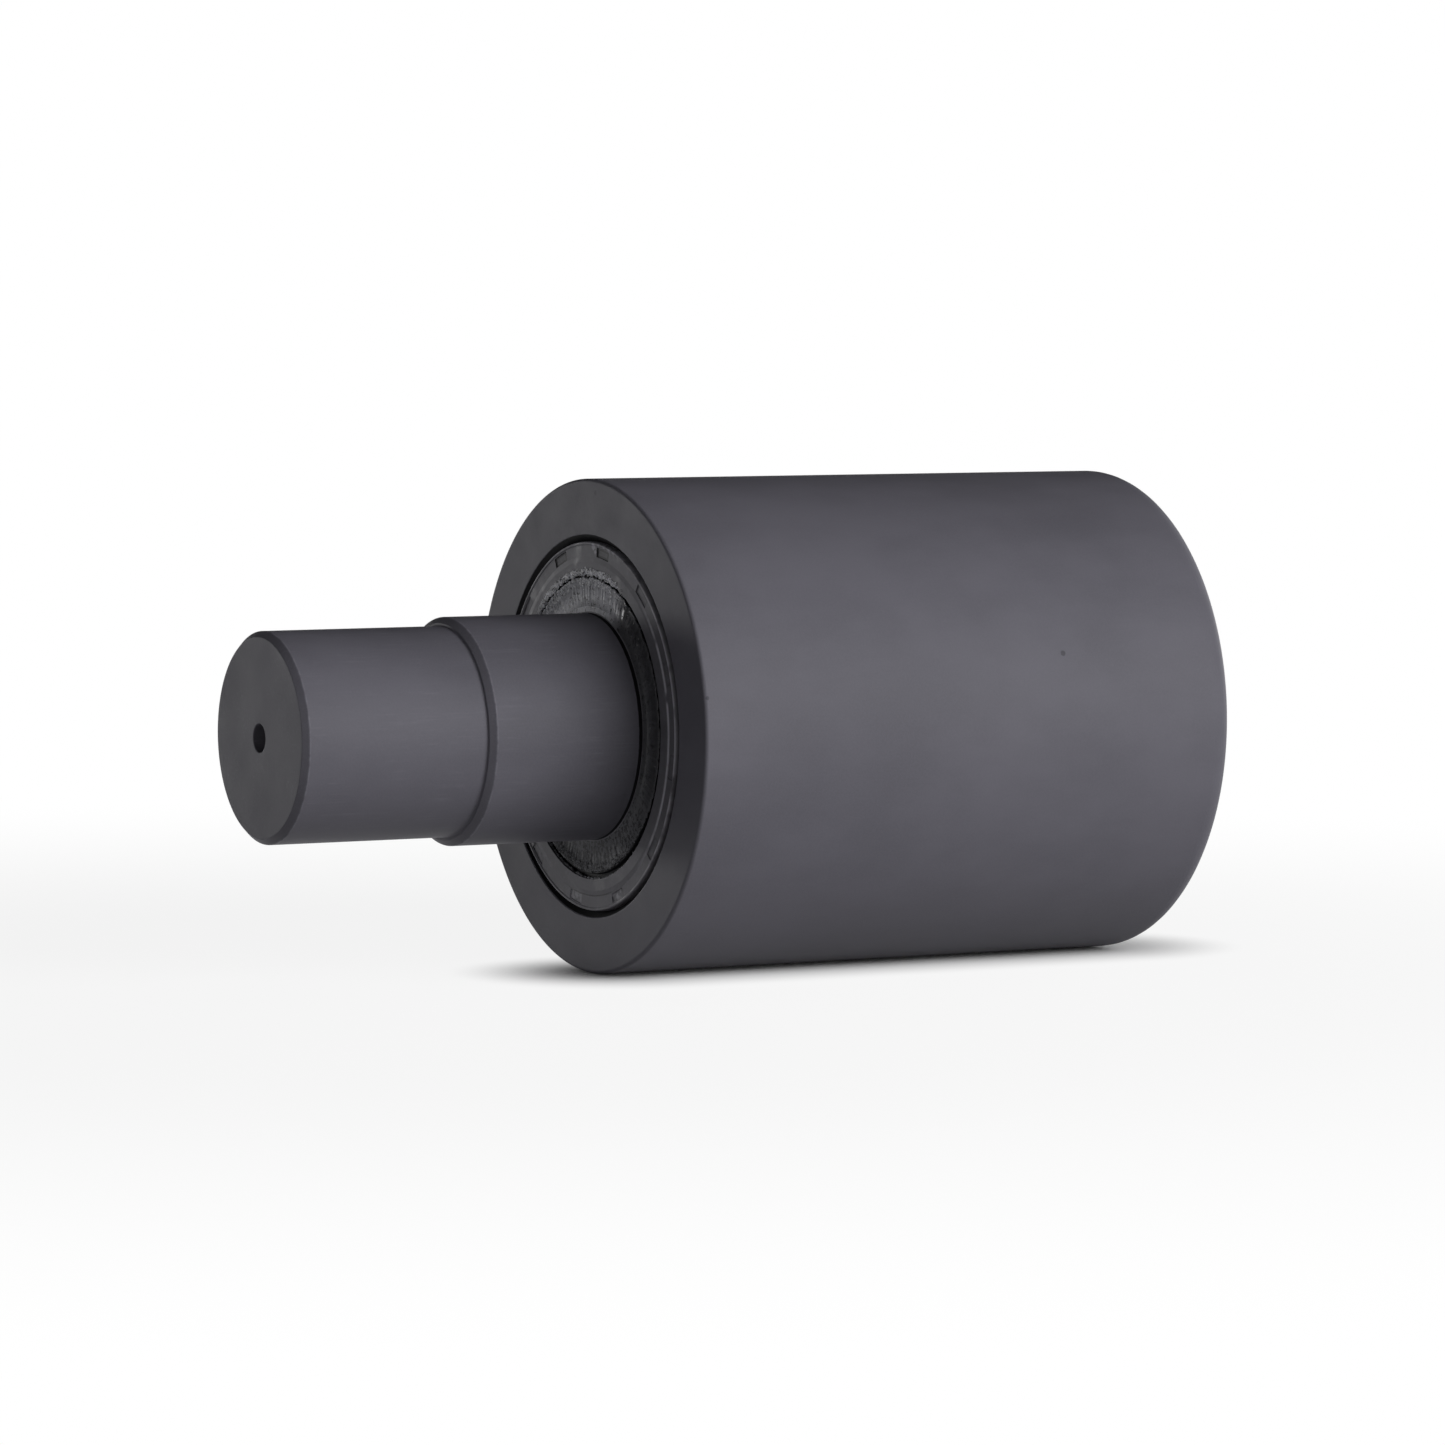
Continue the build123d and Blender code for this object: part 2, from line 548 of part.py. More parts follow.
def all_pieces():
    """Every piece by node name, drawn about +Z."""
    pieces = {
        "shaft": shaft(),
        "bearing_spacer": bearing_spacer(),
        "shaft_circlip": shaft_circlip(),
        "roller_shell": roller_shell(),
        "bearing_circlip": bearing_circlip(),
        "seal_case": seal_case(),
        "seal_rubber": seal_rubber(),
        "seal_garter_spring": garter_spring(),
        "end_cover": end_cover(),
        "end_cover_o_ring": end_cover_o_ring(),
        "end_cover_circlip": end_cover_circlip(),
        "filler_plug": filler_plug(),
        "filler_plug_washer": filler_plug_washer(),
    }
    for name, start in (("front", FRONT_BEARING_START), ("rear", REAR_BEARING_START)):
        pieces[f"{name}_bearing_inner_ring"] = inner_ring(start)
        pieces[f"{name}_bearing_outer_ring"] = outer_ring(start)
        pieces[f"{name}_bearing_balls"] = balls(start)
        pieces[f"{name}_bearing_cage_near"] = cage_half(start, -1)
        pieces[f"{name}_bearing_cage_far"] = cage_half(start, 1)
        pieces[f"{name}_bearing_rivets"] = rivets(start)
    return pieces


def write(name, shape):
    """Lay one piece down along +Y and write its STEP file."""
    lay_down = Rot(-90, 0, 0)
    if isinstance(shape, list):
        shape = Compound(children=[lay_down * solid for solid in shape])
    else:
        shape = lay_down * shape
    shape.label = name
    export_step(shape, f"parts/{name}.step")


os.makedirs("parts", exist_ok=True)
for piece_name, piece_shape in all_pieces().items():
    write(piece_name, piece_shape)
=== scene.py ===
"""Excavator carrier roller: visible pieces, finishes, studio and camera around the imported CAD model.

The roller turns about +Y, which points from the stub shaft into the roller, and +Z is up. Profiles are
lists of (radius, station, rounding) in millimetres, and a station is measured along +Y from the shaft's
shoulder. Angles round the axis start at +Z and grow towards +X. Meshes are in metres.
"""

import math

import bmesh
import bpy
from mathutils import Matrix, Vector, noise


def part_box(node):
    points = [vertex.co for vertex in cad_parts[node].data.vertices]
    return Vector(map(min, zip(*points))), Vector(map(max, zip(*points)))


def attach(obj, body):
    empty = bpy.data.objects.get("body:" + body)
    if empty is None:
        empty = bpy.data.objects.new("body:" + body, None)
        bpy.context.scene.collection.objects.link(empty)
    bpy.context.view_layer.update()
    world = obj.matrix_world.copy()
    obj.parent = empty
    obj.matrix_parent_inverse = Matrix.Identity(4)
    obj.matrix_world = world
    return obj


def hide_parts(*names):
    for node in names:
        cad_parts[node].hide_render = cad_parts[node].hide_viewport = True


bl_info = {
    "name": "Excavator carrier roller",
    "version": (1, 0, 0),
    "blender": (4, 5, 0),
    "location": "View3D > Sidebar > Carrier roller",
    "description": "Turned shaft and shell, greasy shaft seal, end cover, finishes and studio",
    "category": "Add Mesh",
}

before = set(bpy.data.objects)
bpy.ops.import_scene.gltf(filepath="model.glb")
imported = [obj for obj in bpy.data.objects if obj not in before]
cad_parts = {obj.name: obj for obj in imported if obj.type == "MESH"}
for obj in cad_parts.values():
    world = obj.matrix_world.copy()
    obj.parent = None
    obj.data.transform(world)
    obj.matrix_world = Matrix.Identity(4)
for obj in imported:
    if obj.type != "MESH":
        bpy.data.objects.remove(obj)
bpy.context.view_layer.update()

MM = 0.001
FULL_TURN = 2 * math.pi
SHELL_LOW, SHELL_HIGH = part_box("roller_shell")
SHAFT_LOW, SHAFT_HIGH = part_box("shaft")
FACE = SHELL_LOW.y / MM            # station of the shell's front face, and of the seal's
BACK = SHELL_HIGH.y / MM           # station of the shell's hidden end
SHELL_RADIUS = min(abs(SHELL_LOW.x), SHELL_HIGH.x, SHELL_HIGH.z) / MM
STUB_END = SHAFT_LOW.y / MM
SHAFT_BACK = SHAFT_HIGH.y / MM
CENTRE_HOLE = 2.35                 # radius of the hole in the stub's end
STUB_RADIUS = 17.5
SEAT_RADIUS = 19.0                 # of the shaft between its shoulder and the bearings
CORE_RADIUS = 15.0                 # of the shaft in the bearings
CLIP_GROOVE = 14.3                 # radius of the groove behind the rear bearing
BORE_RADIUS = 31.0                 # of the shell round the seal and the bearings
WEB_RADIUS = 27.0                  # of the shell between the bearings
COVER_BORE = 32.5                  # radius of the shell's bore round the end cover
FRONT_BEARING = (38.5, 54.5)       # stations of its two sides
REAR_BEARING = (89.5, 105.5)
COVER_RECESS = 6.0                 # end cover's outside, in from the shell's hidden end
COVER_THICK = 7.0
SPOT_FACE = 0.5                    # depth of the seat of the plug's washer in the cover
WASHER = 1.2                       # thickness of the plug's washer
SOCKET_HALF = 2.5                  # half the width across the flats of the plug's socket
PLUG_SIDES = 96

ARC_STEP = math.radians(9)         # of the roundings
SUPPORT = 0.12                     # distance of the points that keep flats flat beside a rounding
ALL_SMOOTH = 3.0                   # sharp angle in radians that leaves no edge sharp
MERGE_DISTANCE = 2e-7              # metres
# Colour of the matt coat that stands for grease and grime, and for painted shade in gaps and grooves
DIRT_AND_SHADE = (0.006, 0.006, 0.007, 1.0)

POCKET_LOW, POCKET_HIGH = 28.6, 30.22       # radii of the ends of the seal's pockets
POCKET_MIDDLE = 29.41
POCKET_ARC = 29.55                 # radius at which the pockets' width is measured
SECTOR_STEPS = 16                  # even columns of one sector of the seal
POCKET_COLUMNS = (-0.012, -0.006, -0.003, 0.0, 0.0025, 0.006, 0.012)   # angles beside a pocket's side
CHANNEL_ROWS = (30.3, 30.22, 30.16, 30.08, 29.4, 28.8, 28.72, 28.66, 28.6, 28.56)
CHANNEL_DEPTH = 0.12
DISH_EDGE, DISH_INNER, DISH_DEPTH, DISH_LIP = 24.62, 19.05, 0.7, 0.15
DISH_STEPS = 16

FLOOR_RADIUS, WALL_HEIGHT, FLOOR_SIDES = 3.0, 0.6, 48    # metres, metres, count
LAMP_TARGET = (0.0, 0.055, 0.0)
CAMERA_RIGHT, CAMERA_UP = 0.02245, 0.00066  # of the camera's aim from the middle of the shell's face


def operator(operation, swapped=False):
    """A method that adds a Math node for a Python operator on two values."""
    def method(self, other):
        return self.graph.maths(operation, *((other, self) if swapped else (self, other)))
    return method


class Socket:
    """A node's output, so that maths on it is written as Python and adds its own Math nodes."""

    def __init__(self, graph, socket):
        self.graph = graph
        self.socket = socket

    def out(self, name):
        """Another output of the same node."""
        return Socket(self.graph, self.socket.node.outputs[name])

    __add__ = __radd__ = operator("ADD")
    __sub__, __rsub__ = operator("SUBTRACT"), operator("SUBTRACT", swapped=True)
    __mul__ = __rmul__ = operator("MULTIPLY")
    __truediv__, __rtruediv__ = operator("DIVIDE"), operator("DIVIDE", swapped=True)
    __pow__ = operator("POWER")
    __gt__ = operator("GREATER_THAN")

    def __abs__(self):
        return self.graph.maths("ABSOLUTE", self)


class Graph:
    """Adds nodes to one node tree."""

    def __init__(self, tree):
        self.tree = tree

    def node(self, kind, inputs=None, output=0, **settings):
        """A new node with its settings, then the values or links of its inputs."""
        made = self.tree.nodes.new(kind)
        for name, value in settings.items():
            setattr(made, name, value)
        for name, value in (inputs or {}).items():
            if isinstance(value, Socket):
                self.tree.links.new(value.socket, made.inputs[name])
            else:
                made.inputs[name].default_value = value
        return Socket(self, made.outputs[output]) if len(made.outputs) else None

    def maths(self, operation, *values):
        """A Math node."""
        return self.node("ShaderNodeMath", dict(enumerate(values)), operation=operation)

    def mix(self, share, first, second):
        """Colour between two colours."""
        return self.node("ShaderNodeMix", {0: share, 6: first, 7: second}, 2, data_type="RGBA")

    def noise(self, place, scale, detail=2.0, rough=0.5):
        return self.node("ShaderNodeTexNoise", {
            "Vector": place, "Scale": scale, "Detail": detail, "Roughness": rough})

    def step(self, value, start, end):
        """Smooth step of a value from 0 at start to 1 at end."""
        return self.node("ShaderNodeMapRange", {"Value": value, "From Min": start, "From Max": end},
                         interpolation_type="SMOOTHSTEP")

    def vector(self, x=0.0, y=0.0, z=0.0):
        return self.node("ShaderNodeCombineXYZ", {0: x, 1: y, 2: z})

    def apart(self, vector):
        """The three parts of a vector."""
        x = self.node("ShaderNodeSeparateXYZ", {0: vector})
        return x, x.out("Y"), x.out("Z")

    def polar(self, x, z):
        """Distance from the axis, then how far up and how far to +X a point lies, from -1 to 1."""
        radius = (x * x + z * z) ** 0.5
        return radius, z / (radius + 1e-6), x / (radius + 1e-6)

    def leaning_top(self, rise, side):
        """Mask of the top, leaning 10 degrees to -X, where the worked-out grease has crusted."""
        return self.step(rise * 0.985 - side * 0.174, 0.72, 0.88)


class Finish(Graph):
    """One procedural material on object coordinates."""

    def __init__(self, name):
        self.material = bpy.data.materials.new(name)
        self.material.use_nodes = True
        self.material.node_tree.nodes.clear()
        super().__init__(self.material.node_tree)
        self.place = self.node("ShaderNodeTexCoord", output="Object")
        self.x, self.y, z = self.apart(self.place)
        self.radius, self.rise, self.side = self.polar(self.x, z)

    def patches(self, size, detail=2.0, rough=0.5, stretch=None):
        """Noise from 0 to 1 whose patches are about size millimetres across."""
        place = self.place
        if stretch is not None:
            place = self.node("ShaderNodeMapping", {"Vector": place, "Scale": stretch})
        return self.noise(place, 1 / (size * MM), detail, rough)

    def spot(self, x, y, z, size, ragged=0.35):
        """Mask of a round, slightly ragged mark of that size about a point, all in millimetres."""
        away = self.node("ShaderNodeVectorMath", {0: self.place, 1: (x * MM, y * MM, z * MM)}, "Value",
                         operation="DISTANCE")
        edge = self.patches(size * 0.6, 3.0)
        return self.step(away / (size * MM) + (edge - 0.5) * ragged, 1.0, 0.55)

    def band(self, value, middle, half):
        """Mask of a soft band about a value, in millimetres."""
        return self.step(abs(value - middle * MM), half * MM, 0.0)

    def bump(self, height, depth, below=None):
        """Normal raised by a height from 0 to 1 over a depth in millimetres, maybe on another bump."""
        inputs = {"Strength": 1.0, "Distance": depth * MM, "Height": height}
        if below is not None:
            inputs["Normal"] = below
        return self.node("ShaderNodeBump", inputs)

    def layered(self, base, colour, layers):
        """The base under layers: the share of each, and the factor that shades the colour there."""
        for share, factor in layers:
            base = self.mix(share, base, shade(colour, factor))
        return base

    def surface(self, colour, roughness, normal, metallic=0.0, gloss=0.5, dirt_and_shade=None):
        """Principled surface of that specular level, under a matt dark coat where that mask is: grime,
        and painted shade.
        """
        shader = self.node("ShaderNodeBsdfPrincipled", {
            "Base Color": colour, "Roughness": roughness, "Metallic": metallic, "Normal": normal,
            "Specular IOR Level": gloss})
        if dirt_and_shade is not None:
            matt = self.node("ShaderNodeBsdfPrincipled", {
                "Base Color": DIRT_AND_SHADE, "Roughness": 0.55, "Specular IOR Level": 0.06})
            shader = self.node("ShaderNodeMixShader", {0: dirt_and_shade, 1: shader, 2: matt})
        self.node("ShaderNodeOutputMaterial", {"Surface": shader})
        return self.material


def shade(colour, factor):
    """A colour made lighter or darker, with alpha."""
    return tuple(min(1.0, channel * factor) for channel in tuple(colour)[:3]) + (1.0,)


def satin_paint(name, colour, marks=(), worn=(), grease_and_shade=None, streaks=0.0):
    """Sprayed dark grey paint: faint clouds, fine grain, rubbed edges, a few marks, and a matt dark ring
    of grease and painted shade.

    marks holds (x, y, z, size, factor, strength), worn holds (radius, station, reach) of rubbed edges,
    and grease_and_shade is one such place, with painted shade in the gap there that reaches further at
    the top."""
    f = Finish(name)
    cloud = f.patches(38, 3.0, 0.55)
    patch = f.patches(9, 4.0, 0.6, stretch=(1.0, 0.45, 1.0))
    grain = f.patches(0.32, 3.0, 0.6)
    tone = f.step(cloud * 0.62 + patch * 0.38, 0.34, 0.66)
    layers = [(f.step(grain, 0.3, 0.75) * 0.22, 1.35)]
    rough = 0.56 + (patch - 0.5) * 0.16 + (grain - 0.5) * 0.08
    for radius, station, reach in worn:
        broken = f.step(f.patches(1.6, 4.0, 0.6), 0.34, 0.62)
        rubbed = f.band(f.radius, radius, reach) * f.band(f.y, station, reach) * broken
        layers.append((rubbed * 0.5, 2.0))
        rough = rough - rubbed * 0.12
    if streaks:
        rubbed = f.step(f.patches(0.5, 3.0, 0.6, stretch=(1.0, 0.04, 1.0)), 0.5, 0.75)
        patchy = f.step(f.patches(6.0, 2.0), 0.42, 0.62)
        layers.append((rubbed * patchy * streaks, 1.6))
    layers += [(f.spot(x, y, z, size) * strength, factor) for x, y, z, size, factor, strength in marks]
    dirt_and_shade = None
    # Matt dark ring: a smear of grease, and painted shade in the gap beside it; the painted shade
    # reaches less far towards the bottom
    if grease_and_shade:
        radius, station, reach = grease_and_shade
        across, along = f.radius - radius * MM, f.y - station * MM
        lower = 0.84 + 0.16 * f.step(f.rise, -0.7, 0.2)
        near = (across * across + along * along) ** 0.5 / (reach * MM) / lower
        dirt_and_shade = f.step(near + (f.patches(0.9, 3.0) - 0.5) * 0.12, 1.0, 0.86)
    paint = f.layered(f.mix(tone, shade(colour, 0.9), shade(colour, 1.1)), colour, layers)
    relief = f.bump(patch, 0.05, f.bump(grain, 0.012))
    return f.surface(paint, rough, relief, gloss=0.14, dirt_and_shade=dirt_and_shade)


def seal_face(f, count, first, width):
    """The layers of the seal's face, and the mask of its painted highlight bands.

    The pockets get painted shade inside and on their edges, most at the top, and smudges at the bottom;
    painted shade draws an arc between the lowest two and darkens the right side, which has two painted
    highlight bands, and the rim is dusty at the top and lower left."""
    turn = f.maths("ARCTAN2", f.side, f.rise) - first
    part = f.maths("FRACT", turn * count / FULL_TURN + count + 0.5)
    along = abs(part - 0.5) * FULL_TURN * 29.4 / count
    across = abs(f.radius / MM - POCKET_MIDDLE)
    half = width / 2
    # Masks of the pockets and their middles, for the shade painted into the recesses, strongest at the
    # top
    inside = f.step(along, half + 0.08, half - 0.08) * f.step(across, 0.86, 0.76)
    middle = f.step(along, half - 0.35, half - 0.75) * f.step(across, 0.5, 0.3)
    top = f.step(f.rise, 0.75, 0.93)
    smudged = f.step(f.patches(1.2, 4.0, 0.65), 0.42, 0.6) * f.step(f.rise, -0.7, -0.9)
    # Painted shade along the channel's edge between the lowest two pockets
    arc = f.band(f.radius, 28.4, 0.22) * f.step(f.rise, -0.93, -0.985)
    # Mask of the right side, which gets painted shade and the painted highlight bands
    right = f.step(f.side, 0.55, 0.9)
    # Painted highlight on two bands on the right side, which are also made less rough
    bands = f.band(f.radius, 28.3, 0.45) + f.band(f.radius, 30.6, 0.5)
    painted_highlight = bands * right * f.step(f.patches(4.0, 2.0), 0.3, 0.55)
    lower_left = f.step(f.rise, -0.2, -0.5) * f.step(f.side, 0.0, -0.35)
    rim = f.band(f.radius, 30.85, 0.35) * (f.step(f.rise, 0.6, 0.9) + lower_left)
    dusted = rim * f.step(f.patches(1.6, 4.0, 0.65), 0.36, 0.52)
    return [
        (inside * smudged * 0.8, 2.6),
        # Painted shade inside the pockets and on their edges
        (inside * top * 0.75, 0.42),
        (inside * (1 - middle) * (0.25 + top * 0.7), 0.06),
        (arc * 0.75, 0.2),
        (right * 0.5, 0.4),
        (painted_highlight * 0.85, 3.2),
        (dusted * 0.8, 2.2),
    ], painted_highlight


def moulded_rubber(name, colour, pockets=None, scuffs=()):
    """Black moulded rubber under a thin, dusty overspray, oily in patches.

    pockets holds (count, first angle, width in millimetres) of the pockets in the seal's channel, and
    scuffs holds (x, y, z, size, factor, strength)."""
    f = Finish(name)
    skin = f.patches(0.4, 3.0, 0.6)
    oil = f.patches(5.0, 4.0, 0.6)
    wet = f.step(oil, 0.5, 0.66)
    rubbed = f.step(f.patches(1.5, 5.0, 0.7), 0.5, 0.7)
    rubber = f.mix(f.patches(7.0, 3.0) * 0.8, shade(colour, 0.86), shade(colour, 1.16))
    layers = [(rubbed * 0.3, 1.5), (wet * 0.4, 0.5)]
    rough = 0.54 - wet * 0.16 + (skin - 0.5) * 0.1
    groove_shade = None
    if pockets:
        shown, painted_highlight = seal_face(f, *pockets)
        layers += shown
        rough = rough - painted_highlight * 0.2
        # Painted shade: the deep groove at 25 mm radius gets the matt dark coat
        groove_shade = f.step(abs(f.radius / MM - 25.0), 0.72, 0.5)
    layers += [(f.spot(x, y, z, size, 1.1) * strength, factor)
               for x, y, z, size, factor, strength in scuffs]
    relief = f.bump(oil, 0.03, f.bump(skin, 0.012))
    return f.surface(f.layered(rubber, colour, layers), rough, relief, gloss=0.1, dirt_and_shade=groove_shade)


def worked_grease(name, colour, dust, lace=0.0, gloss=0.2, everywhere=False):
    """Black grease: wet where it is smooth, dulled by that much dust where it has crusted.

    lace is how open the gaps in the crust are, and everywhere spreads that lighter colour over all of
    it, which paints glints on the crumbs that use it."""
    f = Finish(name)
    crust = f.leaning_top(f.rise, f.side) + f.step(f.rise * -1, 0.5, 0.78) * 0.13
    fine = f.patches(0.3, 4.0, 0.65)
    soot = f.patches(1.4, 4.0, 0.65)
    open_lace = f.step(f.patches(0.75, 3.0, 0.6), 0.44, 0.52)
    sooty = crust * (0.7 + 0.3 * f.step(soot, 0.36, 0.56))
    dusty = 1.0 if everywhere else sooty * (1 - lace * (1 - open_lace))
    grease = f.mix(dusty, shade(colour, 7.0), shade(colour, dust))
    dots = f.step(f.patches(0.6, 3.0, 0.6) - 0.09 * f.step(f.rise, -0.5, -0.8), 0.44, 0.36)
    grease = f.layered(grease, colour, [(dots * 0.8, 2.0)])
    rough = 0.3 + dusty * 0.3 + (fine - 0.5) * 0.12 + f.step(f.rise, -0.3, -0.65) * 0.4
    return f.surface(grease, rough, f.bump(fine, 0.06), gloss=gloss)


def worked_metal(name, colour, rough, lines, stretch=(1.0, 1.0, 1.0), tone=0.12):
    """Bare metal with tool lines of that spacing in millimetres."""
    f = Finish(name)
    line = f.patches(lines, 4.0, 0.6, stretch=stretch)
    stain = f.patches(6.0, 3.0)
    metal = f.mix(f.step(stain, 0.3, 0.7), shade(colour, 1 - tone), shade(colour, 1 + tone))
    rough = rough + (line - 0.5) * 0.14 + (stain - 0.5) * 0.08
    return f.surface(metal, rough, f.bump(line, 0.01), metallic=1.0)


def rounded(corners, closed=False):
    """Profile points: corners (radius, station, rounding) with their arcs, and points beside them."""
    points = []
    count = len(corners)
    for i, (radius, station, edge) in enumerate(corners):
        here = Vector((radius, station))
        if edge <= 0 or (not closed and i in (0, count - 1)):
            points.append(here)
            continue
        back = Vector(corners[i - 1][:2]) - here
        ahead = Vector(corners[(i + 1) % count][:2]) - here
        spread = back.angle(ahead)
        run = min(edge / math.tan(spread / 2), 0.48 * back.length, 0.48 * ahead.length)
        size = run * math.tan(spread / 2)
        back.normalize()
        ahead.normalize()
        centre = here + (back + ahead).normalized() * size / math.sin(spread / 2)
        first, last = here + back * run - centre, here + ahead * run - centre
        sweep = math.pi - spread
        turn = math.copysign(sweep, first.x * last.y - first.y * last.x)
        steps = max(2, round(sweep / ARC_STEP))
        points += [centre + Matrix.Rotation(turn * k / steps, 2) @ first for k in range(steps + 1)]
    kept = []
    pairs = zip(points, points[1:] + points[:1]) if closed else zip(points, points[1:])
    for here, there in pairs:
        kept.append(here)
        run = there - here
        if run.length > 4 * SUPPORT:
            kept.append(here + run.normalized() * SUPPORT)
            kept.append(there - run.normalized() * SUPPORT)
    kept.append(points[0] if closed else points[-1])
    return kept


def link_object(name, data):
    piece = bpy.data.objects.new(name, data)
    bpy.context.scene.collection.objects.link(piece)
    return piece


def line_mesh(points, swell=None):
    """Points of a profile as a mesh: x is the radius and y the station, in metres."""
    mesh = bpy.data.meshes.new("profile")
    places = [(p[0] * MM, p[1] * MM, 0.0) for p in points]
    mesh.from_pydata(places, [(i, i + 1) for i in range(len(places) - 1)], [])
    if swell is not None:
        mesh.attributes.new("swell", "FLOAT", "POINT").data.foreach_set("value", swell)
    return mesh


COMMON_INPUTS = [("Sharp Angle", "Float", math.radians(35)), ("Finish", "Material", None)]


def new_tree(name, sizes):
    """A geometry node tree with named inputs: the graph that fills it, and its inputs' node."""
    tree = bpy.data.node_groups.new(name, "GeometryNodeTree")
    tree.interface.new_socket("Geometry", in_out="INPUT", socket_type="NodeSocketGeometry")
    for label, kind, default in sizes + COMMON_INPUTS:
        item = tree.interface.new_socket(label, in_out="INPUT", socket_type="NodeSocket" + kind)
        if default is not None:
            item.default_value = default
    tree.interface.new_socket("Geometry", in_out="OUTPUT", socket_type="NodeSocketGeometry")
    graph = Graph(tree)
    return graph, graph.node("NodeGroupInput")


def closed_tree(graph, geometry, given):
    """The tree, with its last nodes: realised, shaded smooth up to the sharp angle, and finished."""
    real = graph.node("GeometryNodeRealizeInstances", {"Geometry": geometry})
    merged = graph.node("GeometryNodeMergeByDistance", {
        "Geometry": real, "Distance": MERGE_DISTANCE})
    smooth = graph.node("GeometryNodeSetShadeSmooth", {"Geometry": merged, "Shade Smooth": True},
                        domain="FACE")
    bend = graph.node("GeometryNodeInputMeshEdgeAngle")
    shaded = graph.node("GeometryNodeSetShadeSmooth", {
        "Geometry": smooth, "Selection": bend > given.out("Sharp Angle"), "Shade Smooth": False},
        domain="EDGE")
    finished = graph.node("GeometryNodeSetMaterial", {
        "Geometry": shaded, "Material": given.out("Finish")})
    graph.node("NodeGroupOutput", {0: finished})
    return graph.tree


def round_axis(graph, radius, station, angle):
    """The place at that radius, station and angle."""
    across, up = graph.maths("SINE", angle), graph.maths("COSINE", angle)
    return graph.vector(radius * across, station, radius * up)


def lathe(graph, profile, segments):
    """Grid wrapped round the axis on a profile: its geometry, its places, and its row number."""
    count = graph.node("GeometryNodeAttributeDomainSize", {"Geometry": profile}, component="MESH")
    columns = segments + 1
    grid = graph.node("GeometryNodeMeshGrid", {
        "Size X": 1.0, "Size Y": 1.0, "Vertices X": count, "Vertices Y": columns})
    index = graph.node("GeometryNodeInputIndex")
    row = graph.maths("FLOOR", index / columns)
    angle = (index - row * columns) * FULL_TURN / segments
    sampled = graph.node("GeometryNodeSampleIndex", {
        "Geometry": profile, "Value": graph.node("GeometryNodeInputPosition"), "Index": row},
        data_type="FLOAT_VECTOR", domain="POINT")
    radius, station, _ = graph.apart(sampled)
    return grid, round_axis(graph, radius, station, angle), row


def turned_tree(name):
    """Turned piece: a profile carried round the axis."""
    graph, given = new_tree(name, [("Segments", "Int", 288)])
    grid, place, _ = lathe(graph, given, given.out("Segments"))
    moved = graph.node("GeometryNodeSetPosition", {"Geometry": grid, "Position": place})
    return closed_tree(graph, moved, given)


def sector_tree(name):
    """Moulded ring: one sector of it, repeated round the axis."""
    graph, given = new_tree(name, [("Sectors", "Int", 12)])
    points = graph.node("GeometryNodePoints", {"Count": given.out("Sectors")})
    turn = graph.node("GeometryNodeInputIndex") * FULL_TURN / given.out("Sectors")
    rotation = graph.node("FunctionNodeEulerToRotation", {0: graph.vector(y=turn)})
    ring = graph.node("GeometryNodeInstanceOnPoints", {
        "Points": points, "Instance": given, "Rotation": rotation})
    return closed_tree(graph, ring, given)


def grease_tree(name):
    """Grease film: a thin turned ring whose front swells, in lumps at the top and bottom."""
    graph, given = new_tree(name, [
        ("Segments", "Int", 720), ("Wave Height", "Float", 0.0001), ("Lump Height", "Float", 0.0008),
        ("Lump Size", "Float", 1.1)])
    grid, place, row = lathe(graph, given, given.out("Segments"))
    stored = graph.node("GeometryNodeInputNamedAttribute", {"Name": "swell"}, data_type="FLOAT")
    swell = graph.node("GeometryNodeSampleIndex", {"Geometry": given, "Value": stored, "Index": row},
                       data_type="FLOAT", domain="POINT")
    x, _, z = graph.apart(place)
    radius, rise, side = graph.polar(x, z)
    scaled = graph.node("ShaderNodeVectorMath", {0: place, "Scale": 1 / (given.out("Lump Size") * MM)},
                        operation="SCALE")

    def outside(start, end):
        """Smooth step from 0 to 1 between two radii in millimetres."""
        return graph.step(radius, start * MM, end * MM)

    above = graph.leaning_top(rise, side)
    below = graph.step(rise * -1, 0.45, 0.75) * 0.15
    crust = (above + below) * (0.16 + 0.84 * outside(23.0, 24.5))
    coarse, fine = graph.noise(scaled, 1.0, 4.0, 0.68), graph.noise(scaled, 3.4, 3.0, 0.7)
    lumps = (coarse - 0.42) * 1.6 + (fine - 0.5) * 0.9
    raised = crust * graph.maths("MAXIMUM", lumps, -0.3) * given.out("Lump Height")
    # The bead outside the lip's gap sinks into the rubber, except at the top
    sunk = (1 - above) * outside(25.15, 25.25) * (0.3 * MM)
    height = swell * (raised + graph.noise(scaled, 0.35, 1.0) * given.out("Wave Height")) - sunk
    # The film's outer edge is ragged, and drawn in at the bottom
    edge = outside(19.1, 24.0) * outside(25.15, 25.0)
    drawn_in = graph.step(rise * -1, 0.4, 0.8) * edge * (0.6 * MM)
    shift = (graph.noise(scaled, 1.7, 1.5) - 0.5) * (1.1 * MM) * outside(22.5, 24.5) - drawn_in
    offset = graph.vector(side * shift, height * -1, rise * shift)
    moved = graph.node("GeometryNodeSetPosition", {
        "Geometry": grid, "Position": place, "Offset": offset})
    return closed_tree(graph, moved, given)


